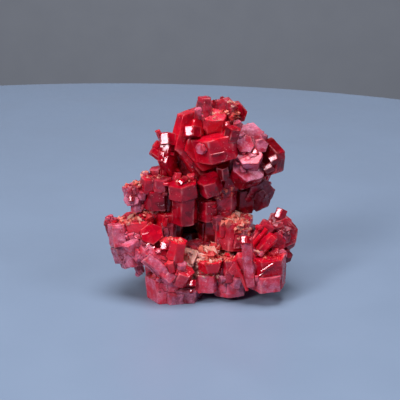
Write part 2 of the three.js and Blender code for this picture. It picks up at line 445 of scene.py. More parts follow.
    def mosaic(self, rng: np.random.Generator, inner: np.ndarray) -> np.ndarray:
        """Shift of each point by the small facet it belongs to, which is that of the nearest of scattered seeds:
        the facet's own shift plus its slope times the distance from its seed.

        Args:
            rng: random source.
            inner: points of shape (count, 3).

        Returns:
            Shifts of the same shape.
        """
        relief = RELIEFS[self.crystal.skin]
        radius, half = self.crystal.radius, self.crystal.length / 2
        area = 5.2 * radius**2 + 12 * radius * half
        seeds = int(np.clip(area / relief.mosaic**2, 6, 500))
        chosen = inner[rng.integers(len(inner), size=seeds)] + rng.normal(0, 0.1, (seeds, 3))
        square = (inner**2).sum(-1)[:, None] - 2 * inner @ chosen.T + (chosen**2).sum(-1)
        nearest = square.argmin(-1)
        normals = rng.normal(size=(seeds, 3, 3)) * relief.mosaic_tilt * 0.5
        own = rng.normal(size=(seeds, 3)) * relief.mosaic * relief.mosaic_tilt * 0.3
        return own[nearest] + np.einsum("nij,nj->ni", normals[nearest], inner - chosen[nearest])

    def build(self) -> Surface:
        """The closed surface with its relief, in the layout.

        A point on the section is pulled in where the sum of high powers of its distances to the six sides passes
        1, which rounds the corners. The relief moves sides outwards and end faces along the axis, and a slow
        ripple keeps every face slightly out of true.

        Returns:
            The surface, with the layers tint, frost, edge and local.
        """
        crystal, relief = self.crystal, RELIEFS[self.crystal.skin]
        rng = np.random.default_rng(self.seed)
        outline, side, offset = self.section()
        scale, up = self.profile()
        half = crystal.length / 2
        share = (up + half) / crystal.length

        wear = Ripple(rng, 1.1)
        rounds = np.broadcast_to(outline, (len(up), *outline.shape))
        levels = np.broadcast_to(up[:, None, None], (len(up), len(side), 1))
        where = np.concatenate([rounds, levels], -1)
        worn = 1 + 1.5 * np.clip(wear(where) - 0.4, 0, 2)
        sharpness = 0.693 * crystal.radius / (0.268 * self.bevel) / worn
        nearness = np.clip(outline @ (SIDE_NORMALS / crystal.reach()[:, None]).T, 1e-3, None)
        rounding = (nearness[None] ** sharpness[..., None]).sum(-1) ** (-1 / sharpness)

        taper = 1 + (crystal.taper - 1) * share
        flat = outline[None] * (scale * taper)[:, None, None] * rounding[..., None]
        lower = self.cap_relief(rng, flat)
        upper = self.cap_relief(rng, flat)
        outwards = self.side_relief(rng, side, offset, up) * scale[:, None] ** 6
        flat = flat + outwards[..., None] * SIDE_NORMALS[side][None]
        height = up[:, None] + upper * (share**4)[:, None] - lower * ((1 - share) ** 4)[:, None]
        grid = np.concatenate([flat, height[..., None]], -1)

        slow = [Ripple(rng, 2.6) for _ in range(3)]
        sway = 0.006 if crystal.skin is Skin.MIRROR else 0.025
        inner = np.vstack([[[0, 0, height[0].mean()]], grid.reshape(-1, 3), [[0, 0, height[-1].mean()]]])
        moved = inner + sway * np.stack([r(inner) for r in slow], -1) + self.mosaic(rng, inner)

        points = np.array(crystal.at) + moved @ crystal.frame()

        # The edge layer marks corners and rims for a painted highlight in a paler colour.
        top_two = np.sort(nearness, -1)[:, -2]
        corner = np.clip((top_two - 0.8) / 0.2, 0, 1)[None] * scale[:, None] ** 4
        rim = np.clip((scale - 0.82) / 0.18, 0, 1) * np.clip((abs(up) / half - 0.8) / 0.2, 0, 1)
        edge = np.clip(np.maximum(corner, rim[:, None]), 0, 1) ** 3
        edge = np.concatenate([[0], edge.ravel(), [0]])
        quads, triangles = tube_faces(len(up), len(side))
        count = len(points)
        # Pale, dull colour: partly pitting, partly a painted sheen; on a capped crystal only at its upper end.
        frosted = np.full(count, relief.frost_and_sheen)
        if crystal.skin is Skin.CAPPED:
            upper_end = np.clip((up / half - 0.9) / 0.08, 0, 1)
            frosted *= np.concatenate([[0], np.repeat(upper_end, len(side)), [1]])
        layers = {
            "tint": np.full(count, crystal.tint) + 0.06 * rng.normal(),
            "frost_and_sheen": frosted,
            "edge": edge,
            "local": moved,
        }
        return Surface(points, quads, triangles, layers)


def brood_of(crystal: Crystal, rng: np.random.Generator) -> list[Crystal]:
    """Smaller crystals grown nearly parallel to a crystal, standing a little proud of its faces.

    Args:
        crystal: the parent.
        rng: random source.

    Returns:
        The smaller crystals.
    """
    axis = np.array(crystal.axis, float)
    axis /= np.linalg.norm(axis)
    helper = np.array([1.0, 0, 0]) if abs(axis[0]) < 0.8 else np.array([0, 1.0, 0])
    first = np.cross(axis, helper)
    first /= np.linalg.norm(first)
    second = np.cross(axis, first)
    made = []
    for _ in range(crystal.brood):
        around = rng.uniform(0, math.tau)
        outwards = math.cos(around) * first + math.sin(around) * second
        radius = crystal.radius * rng.uniform(0.28, 0.55)
        length = crystal.length * rng.uniform(0.45, 0.9)
        proud = rng.uniform(0.05, 0.3)
        if rng.uniform() < 0.5:
            shift = outwards * (crystal.radius * 0.9 + proud - radius * 0.9)
            rise = rng.uniform(-1, 1) * (crystal.length - length) / 2
        else:
            shift = outwards * rng.uniform(0, 0.85) * (crystal.radius - radius)
            rise = rng.choice([-1, 1]) * ((crystal.length - length) / 2 + proud * 0.8)
        at = np.array(crystal.at) + shift + rise * axis
        tilt = axis + rng.normal(0, 0.035, 3)
        made.append(
            replace(
                crystal,
                at=tuple(at),
                radius=radius,
                length=length,
                axis=tuple(tilt),
                turn=crystal.turn + rng.normal(0, 2),
                tint=float(np.clip(crystal.tint + rng.normal(0, 0.12), 0, 1)),
                brood=0,
            )
        )
    return made


def small_surface(crystal: Crystal) -> Surface:
    """A small crystal's surface with bevelled end faces and few faces in all.

    Args:
        crystal: the crystal.

    Returns:
        The closed surface.
    """
    turns = SIDE_TURNS + math.pi / SIDES
    bevel = min(0.12 * crystal.radius, 0.2 * crystal.length)
    sizes = crystal.radius * np.array([1 - bevel / crystal.radius, 1, 1, 1 - bevel / crystal.radius])
    heights = np.array([0, bevel, crystal.length - bevel, crystal.length]) - crystal.length / 2
    levels = np.repeat(heights[:, None], SIDES, 1)
    rings = np.stack([np.outer(sizes, np.cos(turns)), np.outer(sizes, np.sin(turns)), levels], -1)
    own = np.vstack([[[0, 0, heights[0]]], rings.reshape(-1, 3), [[0, 0, heights[-1]]]])
    quads, triangles = tube_faces(4, SIDES)
    count = len(own)
    layers = {
        "tint": np.full(count, crystal.tint),
        "frost_and_sheen": np.full(count, RELIEFS[crystal.skin].frost_and_sheen),
        # A weak painted edge highlight over the whole small crystal.
        "edge": np.full(count, 0.25),
        "local": own + np.array(crystal.at),
    }
    return Surface(np.array(crystal.at) + own @ crystal.frame(), quads, triangles, layers)


def seedlings(family: list[Crystal], rng: np.random.Generator, tries: int) -> list[Crystal]:
    """Small crystals on the surfaces of larger ones, most of them where two of these meet.

    Args:
        family: the larger crystals.
        rng: random source.
        tries: places tried on each.

    Returns:
        The small crystals.
    """
    made = []
    for parent in family:
        around = rng.integers(SIDES, size=tries)
        radius, half = parent.radius, parent.length / 2
        on_cap = rng.uniform(size=tries) < radius / (radius + 2.3 * half)
        across, out = rng.uniform(-0.5, 0.5, tries) * radius, np.sqrt(rng.uniform(size=tries))
        out = np.where(on_cap, out, 1.0)
        normals = SIDE_NORMALS[around]
        tangents = np.stack([-normals[:, 1], normals[:, 0]], -1)
        flat = out[:, None] * (parent.reach()[around][:, None] * normals + across[:, None] * tangents)
        up = np.where(on_cap, rng.choice([-1, 1], tries), rng.uniform(-1, 1, tries)) * half
        points = np.array(parent.at) + np.concatenate([flat, up[:, None]], -1) @ parent.frame()
        others = [other.depth(points) for other in family if other is not parent]
        nearest = np.min(others, axis=0) if others else np.full(tries, 9.0)
        at_seam = (nearest > -0.15) & (nearest < 0.4)
        relief = RELIEFS[parent.skin]
        chance = np.where(at_seam, relief.at_seams, np.where(nearest > 0, relief.on_faces, 0))
        chance = chance * np.where(on_cap, 0.4, 1)
        kept = rng.uniform(size=tries) < chance * min(1.0, parent.radius)
        for place, seam in zip(points[kept], at_seam[kept]):
            size = float(np.clip(rng.lognormal(-1.2, 0.5), 0.12, 0.7)) * (1.0 if seam else 0.7)
            loose = 0.5 if seam and rng.uniform() < 0.5 else 0.06
            axis = parent.frame()[2] + loose * rng.normal(size=3)
            reference = np.array(parent.reference) + loose * rng.normal(size=3)
            made.append(
                replace(
                    parent,
                    at=tuple(place),
                    radius=size,
                    length=size * float(rng.choice([0.6, 0.9, 2.6])),
                    axis=tuple(axis),
                    reference=tuple(reference),
                    tint=float(np.clip(parent.tint + rng.normal(0, 0.2), 0, 1)),
                    brood=0,
                )
            )
    return made


@dataclass(frozen=True)
class Patch:
    """A place where grains lie.

    Attributes:
        group: group whose surface carries them.
        at: middle, in millimetres.
        half: half sizes of the ellipsoid that bounds it.
        count: number of grains.
        size: their usual size.
        tint: from 0, reddish, to 1, pale tan.
        facing: direction that the covered faces look in.
    """

    group: str
    at: tuple[float, float, float]
    half: tuple[float, float, float]
    count: int
    size: float = 0.16
    tint: float = 0.5
    facing: tuple[float, float, float] = (0.0, -0.2, 0.98)


S, F, R, C, M = Skin.STEPPED, Skin.FROSTED, Skin.RIBBED, Skin.CAPPED, Skin.MIRROR

GLINT = (-0.31, -0.82, 0.48)  # direction of small faces that mirror the main light towards the viewer
SHEEN = (0, -0.52, 0.85)  # direction of small faces that mirror the upper light towards the viewer
UPRIGHT = (0, 0.505, 0.863)  # at right angles to GLINT, upwards as seen by the viewer
SLANT = (0.86, -0.03, 0.5)  # at right angles to GLINT, to the right and up as seen by the viewer

# The crystals that the CAD model has too, by their group. Their tints are partly their own tone, partly painted
# shade (low) and a painted glow of light through the crystal (high).
GROUPS: dict[str, list[Crystal]] = {
    "head_crystals": [
        plate((1.5, 1.7, 25.3), 6.6, 2.2, (-62, 6), 12, tint=0.65, brood=0),
        plate((1.3, 1.5, 23.7), 5.8, 2.2, (-62, 6), 0, tint=0.6, brood=0),
        plate((1.9, 1.0, 25.2), 5.2, 2.0, (-62, 6), 8, tint=1.0, brood=0),
        bar((-1.2, -1.8, 27.3), 1.45, 1.6, UPRIGHT, GLINT, skin=M, brood=0),
        prism((2.45, -1.6, 25.0), 3.6, 3.8, (-0.2, 0), 14, tint=0.6, brood=0),
        prism((4.9, -3.0, 27.4), 1.25, 2.2, (0.25, -0.1), 20, tint=0.3, brood=0),
        prism((1.9, 0.6, 28.2), 2.3, 3.6, (0.05, -0.4), 10, skin=S, tint=0.7, brood=2),
        prism((0.6, 0.4, 30.6), 1.75, 3.4, (0.05, 0.1), 28, taper=0.6, skin=S, tint=0.5, brood=0),
        plate((3.8, 1.5, 29.7), 2.2, 2.2, (-115, 8), 25, skin=S, tint=0.4, brood=3),
        plate((5.6, 2.5, 29.4), 1.8, 2.4, (-85, 5), 10, tint=0.35, brood=0),
        plate((7.8, 0.8, 25.8), 2.1, 3.0, (-80, 38), 10, skin=F, tint=0.2, brood=1),
        plate((7.2, -1.1, 25.1), 1.5, 2.6, (-100, 22), 0, skin=F, brood=1),
        plate((9.2, -0.6, 24.8), 1.15, 2.6, (-72, 12), 10, skin=F, tint=0.3, brood=0),
        plate((7.7, -1.5, 23.0), 2.1, 2.6, (-92, 46), 5, skin=F, brood=2),
        plate((7.2, -0.8, 20.6), 2.8, 3.2, (-66, 44), 8, skin=C, tint=0.4, brood=0),
        plate((10.5, 0.4, 22.4), 3.3, 2.0, (-130, 0), 26, tint=0.15, brood=0),
        prism((1.6, -2.4, 18.9), 1.85, 2.6, (-0.25, -0.35), 4, tint=0.5, brood=0),
        prism((4.6, 0.2, 19.4), 2.2, 3.4, (0.1, 0), 12, tint=0.3),
        prism((5.6, 0.6, 23.4), 2.3, 5.6, (0.05, 0), 10, tint=0.25, brood=1),
        prism((-2.5, 1.0, 20.8), 1.7, 3.4, (0.1, 0.1), 10, skin=S, tint=0.3, brood=1),
        prism((2.4, 4.4, 26.0), 3.0, 4.6, (-0.15, 0.5), 10, skin=S),
        plate((-1.6, 4.2, 24.2), 2.8, 2.6, (130, 15), 5, skin=S),
        plate((5.8, 5.2, 23.8), 3.0, 3.2, (70, 10), 18, skin=F),
        prism((1.6, 5.0, 21.0), 2.5, 4.0, (-0.1, 0.35), 25, skin=S),
        plate((8.4, 3.4, 24.8), 2.2, 2.4, (40, 35), 8),
    ],
    "standing_plate": [
        plate((-4.7, -0.5, 23.3), 3.3, 1.7, (-22, 0), 4, tint=0.5, brood=1),
        prism((-6.8, -0.3, 23.5), 0.95, 1.9, (-1.4, 0), 10, tint=0.8, brood=1),
        prism((-6.2, -0.6, 26.2), 0.45, 2.4, (-0.4, 0), 10, tint=0.7, brood=0),
    ],
    "left_arm_crystals": [
        prism((-11.0, -1.8, 17.7), 1.2, 1.8, (-0.2, 0.1), 12, skin=F),
        prism((-9.7, -2.0, 18.0), 1.1, 1.9, (0.05, -0.1), 24, skin=S),
        plate((-10.6, -2.2, 16.6), 1.4, 1.6, (-100, 20), 10, skin=F),
        prism((-10.0, -1.8, 15.4), 1.1, 2.0, (0, 0), 20, skin=F),
        prism((-8.1, -2.4, 19.0), 1.4, 2.4, (0.1, -0.1), 8, skin=S, tint=0.5),
        prism((-8.7, -1.2, 16.5), 1.5, 2.8, (0.05, 0), 14, skin=S, tint=0.35, brood=0),
        prism((-6.1, -2.6, 19.2), 1.6, 2.0, (0.05, -0.05), 0, skin=S, tint=0.45),
        prism((-6.9, -1.6, 16.5), 2.3, 3.2, (0, 0), 10, tint=0.2, brood=1),
        prism((-4.7, -0.6, 15.6), 1.9, 3.6, (0, 0), 20, tint=0.15, brood=1),
        prism((-2.6, -2.8, 18.5), 2.6, 2.4, (-0.1, -0.1), 27, tint=0.5),
        prism((-2.4, -2.2, 15.2), 2.2, 5.2, (0.03, 0), 16, tint=0.25, brood=0),
        prism((-4.6, 0.6, 18.2), 2.6, 3.2, (-0.1, 0.1), 15, skin=S),
        prism((-8.4, 0.6, 17.2), 2.2, 2.8, (-0.2, 0.15), 5, skin=S),
        prism((-5.6, 3.0, 17.0), 2.4, 3.4, (-0.15, 0.4), 20, skin=S),
    ],
    "column_crystals": [
        prism((1.3, -1.4, 14.4), 1.6, 3.4, (0.03, 0), 20, tint=0.4),
        prism((3.4, 0.0, 15.4), 2.4, 5.6, (0.05, 0), 5, skin=S, tint=0.35),
        prism((1.4, 0.2, 9.9), 1.8, 5.4, (0.03, 0.05), 10, tint=0.35),
        prism((1.2, 2.8, 13.6), 2.4, 5.2, (-0.1, 0.2), 20),
    ],
    "crusted_block": [prism((5.5, -1.0, 10.5), 3.1, 4.8, (0.03, -0.03), 14, skin=S, tint=0.65, brood=2)],
    # Their low tints are painted shade: these crystals lie in shadow under the head.
    "overhang_crystals": [
        plate((9.0, 3.0, 15.9), 2.9, 3.4, (-60, -10), 12, skin=S, tint=0.1),
        prism((6.9, 2.4, 14.9), 2.3, 3.6, (0.1, 0), 14, tint=0.1),
        prism((9.0, 5.6, 17.0), 2.4, 3.6, (0.3, 0.3), 8, skin=S),
    ],
    "left_lobe_crystals": [
        prism((-12.6, -2.5, 10.7), 2.0, 3.6, (-0.1, 0.15), 0, skin=F, brood=1),
        prism((-14.0, -1.4, 11.4), 1.05, 2.8, (-0.15, 0.1), 12, skin=S),
        prism((-9.9, -1.6, 11.9), 3.0, 2.8, (-0.14, -0.08), 0, skin=S, tint=0.75),
        plate((-7.7, -4.4, 11.3), 1.85, 1.8, (-78, 32), 32, tint=0.6, brood=0),
        prism((-5.5, -2.2, 13.2), 1.45, 2.4, (0.1, -0.2), 18, tint=0.85, brood=1),
        prism((-5.5, -1.8, 11.2), 1.7, 3.0, (0, 0), 10, skin=F),
        prism((-10.5, -4.2, 9.5), 1.7, 2.2, (-0.5, -0.25), 12, skin=F, tint=0.6, brood=0),
        prism((-9.5, -4.6, 8.4), 1.5, 2.0, (0.45, -0.3), 24, skin=F, tint=0.6, brood=0),
        prism((-8.7, -5.2, 8.6), 1.3, 2.0, (0.6, -0.2), 4, skin=F, tint=0.7, brood=1),
        prism((-12.2, -2.6, 7.5), 1.9, 2.8, (-0.3, 0.1), 10, skin=F, tint=0.2),
        prism((-10.4, -3.6, 6.9), 1.8, 2.2, (-0.1, 0.2), 22, skin=F, tint=0.3),
        bar((-7.1, -5.6, 8.0), 1.3, 4.4, (0.74, -0.05, -0.67), (0.15, -1, 0.5), 0, skin=F, tint=0.8, brood=1),
        bar((-6.4, -6.1, 6.4), 1.35, 5.6, (0.74, -0.05, -0.67), (0.1, -1, 0.3), 0, skin=F, tint=0.8, brood=1),
        prism((-3.8, -5.8, 8.6), 1.65, 4.8, (0.2, -0.1), 24, taper=0.85, tint=1.0, brood=1),
        plate((-5.8, -5.4, 8.0), 1.5, 1.6, (-70, 10), 10, tint=0.95, brood=1),
        prism((-10.0, -2.8, 5.2), 0.7, 2.4, (-0.4, 0.1), 10, skin=F),
        prism((-9.4, 1.6, 10.2), 2.8, 4.0, (-0.2, 0.2), 12, skin=S),
        prism((-2.9, -5.7, 5.0), 1.7, 2.8, (0.5, -0.4), 8, skin=S, tint=0.9, brood=2),
        prism((-6.4, 0.4, 8.2), 3.0, 4.0, (-0.1, 0.1), 22, skin=S),
        prism((-7.4, 4.4, 8.2), 2.6, 4.0, (-0.35, 0.2), 24, skin=S),
        prism((-4.7, 1.2, 11.2), 2.2, 4.4, (0.1, 0.05), 18, skin=S, tint=0.3, brood=0),
        prism((-6.6, 3.4, 5.4), 2.6, 4.4, (-0.1, 0.1), 16, skin=S),
        prism((-6.2, 5.4, 2.2), 3.2, 5.0, (-0.1, 0.15), 10, skin=S),
    ],
    "foot_crystals": [
        prism((-5.2, -2.6, 1.9), 3.6, 4.3, (-0.12, 0.06), 6, skin=F, tint=0.9, brood=1),
        prism((-2.5, -3.1, 1.2), 3.2, 2.7, (0.1, -0.1), 6, skin=F, tint=0.2, brood=3),
    ],
    "rim_crystals": [
        prism((1.0, -3.9, 3.2), 2.3, 2.9, (0.02, 0.02), 4, skin=F, tint=0.8, brood=0),
        prism((4.8, -3.2, 2.2), 2.6, 3.2, (-0.05, 0.1), 20, skin=F, tint=0.8, brood=1),
        prism((1.6, -4.7, 6.3), 1.8, 1.9, (0, -0.05), 12, taper=1.25, tint=0.95, brood=0),
        prism((4.7, -4.4, 5.4), 1.6, 3.8, (0, 0), 5, skin=S, tint=0.6, brood=1),
        plate((7.0, -5.4, 6.2), 2.5, 1.6, (-95, -12), 0, skin=S, tint=0.95, brood=1),
        prism((7.6, -6.5, 7.5), 0.85, 8.2, (-0.09, 0.02), 8, skin=F, tint=0.6, brood=0),
    ],
    "right_lobe_crystals": [
        prism((10.6, -4.4, 5.3), 3.1, 5.2, (-0.02, -0.04), 12, tint=0.55, brood=0),
        prism((10.57, -4.45, 3.9), 3.16, 2.6, (-0.02, -0.04), 12, skin=F, tint=0.8, brood=0),
        bar((9.9, -2.5, 10.2), 1.5, 5.0, (0.55, 0.05, 0.83), (-0.3, -1, 0.2), 10, skin=S, tint=0.5, brood=1),
        bar((8.9, -2.6, 9.9), 1.0, 4.8, (0.6, 0, 0.8), (-0.6, -1, 0.2), 20, skin=S, tint=0.7, brood=0),
        bar((10.4, -4.4, 9.6), 0.9, 4.0, (0.62, 0, 0.78), (-0.2, -1, 0.2), 5, tint=0.75, brood=0),
        plate((11.6, -2.9, 8.9), 2.2, 1.8, (-80, 5), 18, tint=0.4, brood=1),
        plate((12.7, -0.8, 10.1), 2.8, 2.8, (-68, 12), 14, skin=R, tint=0.4, brood=3),
        plate((12.4, -1.7, 9.9), 1.3, 2.2, (-85, -8), 10, skin=F, brood=0),
        bar((12.9, -0.7, 13.4), 0.95, 1.6, (0.35, 0.354, 0.83), GLINT, skin=M, brood=0),
        prism((13.0, 0.2, 6.6), 1.8, 3.0, (0.15, 0.1), 10, skin=S),
        plate((13.4, -1.6, 6.7), 1.3, 2.0, (-60, 0), 10, tint=0.2, brood=1),
        prism((10.2, 1.6, 7.4), 2.8, 4.6, (0.1, 0.2), 16, skin=S),
        prism((9.0, 4.4, 7.0), 2.6, 4.0, (0.35, 0.2), 12, skin=S),
        prism((8.4, 3.6, 5.4), 2.7, 4.0, (0.1, 0.1), 4, skin=S),
        prism((6.8, 5.6, 2.3), 3.3, 5.2, (0.15, 0.2), 22, skin=S),
    ],
    "back_crystals": [
        prism((0.4, 6.6, 4.4), 3.6, 5.6, (-0.05, 0.3), 6, skin=S),
        plate((-2.8, 7.6, 8.0), 3.0, 2.8, (105, 20), 12),
        plate((3.8, 7.2, 9.0), 2.8, 2.8, (75, 25), 4, skin=F),
        prism((0.6, 5.8, 12.4), 2.8, 4.6, (0, 0.3), 16, skin=S),
        prism((4.2, 5.2, 15.6), 2.4, 4.0, (0.1, 0.3), 4, skin=S),
        prism((-2.6, 5.0, 15.2), 2.3, 3.8, (-0.2, 0.35), 20),
    ],
}

# Smaller crystals that only the visual model has.
DETAILS: dict[str, list[Crystal]] = {
    "head_crystals": [
        bar((11.7, -1.7, 22.9), 0.85, 1.4, SLANT, GLINT, skin=M, tint=0.1),
        bar((10.8, -1.6, 21.5), 0.8, 1.5, SLANT, GLINT, skin=M, tint=0.1),
        bar((4.2, -1.6, 28.6), 0.45, 0.7, UPRIGHT, GLINT, skin=M),
        plate((0.2, -4.15, 25.4), 0.95, 0.7, (-131, 8), 0, skin=F),
        bar((2.7, -4.75, 24.8), 0.17, 2.2, (1, 0.2, 0.16), SHEEN, skin=M),
        bar((3.0, -4.5, 23.3), 0.15, 1.8, (1, 0.2, 0.2), SHEEN, skin=M),
        bar((8.6, -1.9, 24.0), 0.85, 1.1, SLANT, GLINT, skin=M),
        bar((7.8, -2.3, 23.1), 0.5, 1.0, SLANT, GLINT, skin=M),
        prism((5.9, 0.2, 27.6), 0.7, 1.8, (-0.1, -0.2), 10, skin=F),
        prism((9.9, 0.1, 25.6), 0.7, 1.6, (0.2, 0), 10, skin=F, tint=0.3),
        prism((6.3, -1.2, 26.4), 0.6, 1.4, (0.2, -0.4), 10, skin=F, tint=0.3),
        prism((5.8, -1.6, 20.8), 0.8, 2.0, (0.1, -0.3), 15, tint=0.2),
        prism((3.6, -2.4, 21.0), 1.0, 2.2, (-0.1, -0.2), 25, tint=0.25),
        prism((-0.2, -1.0, 30.2), 0.6, 1.6, (-0.3, -0.2), 5, skin=F),
    ],
    "standing_plate": [
        prism((-5.6, -1.6, 20.7), 0.7, 1.4, (0.1, -0.2), 10, tint=0.7),
        bar((-5.1, -1.2, 25.9), 1.4, 1.9, UPRIGHT, GLINT, skin=M),
        bar((-5.2, -1.5, 24.3), 1.35, 0.35, UPRIGHT, GLINT, skin=M),
        bar((-5.2, -1.6, 23.6), 1.3, 0.5, UPRIGHT, GLINT, skin=M),
    ],
    "left_arm_crystals": [
        bar((-2.9, -4.0, 19.85), 0.5, 0.8, (0.8, -0.566, -0.45), GLINT, skin=M),
        prism((-6.9, -0.9, 20.4), 0.9, 1.6, (-0.2, -0.1), 0, skin=F),
        prism((-5.5, -1.0, 20.5), 0.8, 1.5, (0.15, -0.1), 20, skin=S),
        prism((-8.6, -1.6, 20.2), 0.6, 1.2, (-0.1, 0), 5, skin=F),
        prism((-3.6, -1.6, 20.1), 0.8, 1.2, (0.2, 0.1), 15, skin=S, tint=0.8),
        prism((-1.3, -2.2, 19.9), 0.7, 1.3, (-0.1, -0.2), 5, skin=S, tint=0.8),
        bar((-10.8, -3.5, 16.9), 0.45, 0.8, UPRIGHT, GLINT, skin=M),
        prism((-9.0, -2.9, 17.4), 0.7, 1.4, (0.1, -0.1), 10, skin=F),
    ],
    "column_crystals": [
        prism((-0.8, -2.4, 8.5), 1.5, 1.0, (0.05, -0.12), 10, skin=S, tint=0.3),
        prism((0.6, -1.6, 8.2), 0.9, 1.4, (0.3, -0.2), 0, skin=S, tint=0.4),
        prism((2.9, -2.6, 12.7), 0.9, 2.2, (0, 0), 12, skin=S, tint=0.2),
        prism((3.1, -1.6, 8.6), 0.7, 1.8, (0.2, -0.1), 10, skin=F, tint=0.4),
    ],
    "crusted_block": [
        prism((3.4, -2.6, 11.5), 0.8, 2.4, (0, 0), 14, tint=0.8),
        prism((7.0, -3.1, 10.4), 0.9, 2.6, (0.1, 0), 20, skin=F, tint=0.3),
        prism((6.4, -3.2, 12.2), 0.6, 1.2, (0.1, -0.2), 5, skin=F),
    ],
    "left_lobe_crystals": [
        bar((-5.5, -5.7, 9.8), 0.95, 1.3, UPRIGHT, GLINT, skin=M),
        bar((-8.1, -5.4, 10.1), 0.45, 0.7, SLANT, GLINT, skin=M),
        bar((-7.3, -5.8, 9.5), 0.4, 0.8, SLANT, GLINT, skin=M),
        bar((-1.2, -6.6, 3.9), 0.6, 1.0, UPRIGHT, GLINT, skin=M),
        prism((-14.2, -1.7, 12.9), 0.45, 1.4, (-0.1, 0), 10, skin=F),
        prism((-10.9, -3.8, 10.9), 0.7, 1.2, (-0.2, -0.3), 10, skin=F),
        prism((-9.9, -4.4, 10.6), 0.6, 1.1, (0.2, -0.4), 25, skin=F),
        prism((-9.0, -5.0, 10.0), 0.6, 1.2, (0.3, -0.3), 5, skin=F),
        prism((-8.2, -5.6, 9.3), 0.6, 1.1, (0.3, -0.4), 15, skin=F),
        prism((-6.6, -6.0, 8.9), 0.5, 1.0, (0.1, -0.5), 15, skin=F),
        prism((-8.6, -2.4, 13.6), 0.7, 1.0, (0.1, -0.2), 10, skin=S, tint=0.9),
        prism((-7.4, -2.2, 13.8), 0.8, 1.1, (-0.1, -0.1), 20, skin=S, tint=0.9),
        prism((-4.9, -5.9, 10.6), 0.7, 1.0, (-0.2, -0.3), 0, skin=S, tint=0.95),
        prism((-3.0, -6.4, 6.6), 0.9, 1.6, (0.2, -0.3), 20, skin=F),
        prism((-4.9, -6.5, 6.9), 0.7, 1.2, (-0.2, -0.3), 5, tint=1.0),
        prism((-11.8, -3.8, 6.2), 0.8, 1.4, (-0.3, 0), 10, skin=F, tint=0.3),
    ],
    "foot_crystals": [
        prism((-5.9, -4.9, 2.4), 1.3, 2.6, (0, -0.05), 4, skin=F, tint=0.9),
        prism((-3.9, -4.4, 0.9), 2.2, 2.2, (0.05, -0.1), 12, skin=F, tint=0.3),
        bar((-1.4, -6.1, 2.2), 0.3, 0.5, UPRIGHT, GLINT, skin=M),
    ],
    "rim_crystals": [
        bar((7.1, -6.75, 11.3), 0.85, 1.2, UPRIGHT, GLINT, skin=M),
        prism((0.2, -4.6, 4.9), 0.8, 1.0, (0.1, -0.1), 10, skin=S, tint=0.8),
        prism((2.2, -4.3, 4.8), 0.9, 1.0, (-0.1, -0.1), 25, skin=S, tint=0.8),
        prism((3.6, -5.1, 4.0), 0.8, 1.2, (0.1, -0.2), 10, skin=F),
        prism((5.8, -5.4, 3.6), 0.9, 1.8, (0.2, -0.1), 10, skin=F),
        bar((6.4, -6.5, 5.2), 0.35, 5.6, (0.38, 0, -0.92), (-0.6, -1, 0), 0, tint=1.0),
        prism((4.3, -4.2, 7.5), 0.5, 0.8, (0.2, 0), 10, tint=0.9),
    ],
    "right_lobe_crystals": [
        bar((10.6, -7.2, 6.85), 0.34, 2.3, (0.8, 0.05, 0.6), GLINT, skin=M),
        bar((9.7, -7.0, 5.6), 0.2, 1.0, (0.8, 0.05, 0.6), GLINT, skin=M),
        plate((12.1, -1.4, 12.2), 1.5, 1.0, (-80, 50), 0, skin=R, tint=0.4),
        plate((13.5, -1.0, 11.7), 1.5, 1.0, (-60, 35), 12, skin=R, tint=0.35),
        plate((14.3, -0.8, 10.4), 1.6, 1.0, (-48, 14), 5, skin=R, tint=0.35),
        plate((14.4, -0.8, 8.8), 1.5, 1.0, (-42, -6), 20, skin=R, tint=0.3),
        plate((12.9, -2.2, 11.2), 0.9, 0.8, (-75, 30), 12, skin=S, tint=0.4),
        plate((13.7, -1.9, 9.8), 0.9, 0.9, (-60, 5), 12, skin=S, tint=0.3),
        prism((8.9, -4.6, 8.1), 0.7, 1.2, (0.2, -0.2), 10, skin=F),
        prism((11.9, -4.4, 8.0), 0.8, 1.2, (-0.2, -0.3), 20, skin=S),
        bar((9.3, -3.6, 10.3), 0.45, 4.2, (0.58, 0, 0.81), (-0.5, -1, 0.2), 5, tint=0.9),
        bar((9.6, -3.9, 9.3), 0.5, 3.6, (0.58, 0, 0.81), (-0.3, -1, 0.2), 12, tint=0.6),
        plate((12.9, -3.6, 7.6), 0.9, 1.4, (-70, 20), 12, skin=F),
        plate((12.3, -2.7, 10.2), 1.05, 0.9, (-105, 22), 20, skin=F, tint=0.6),
    ],
}

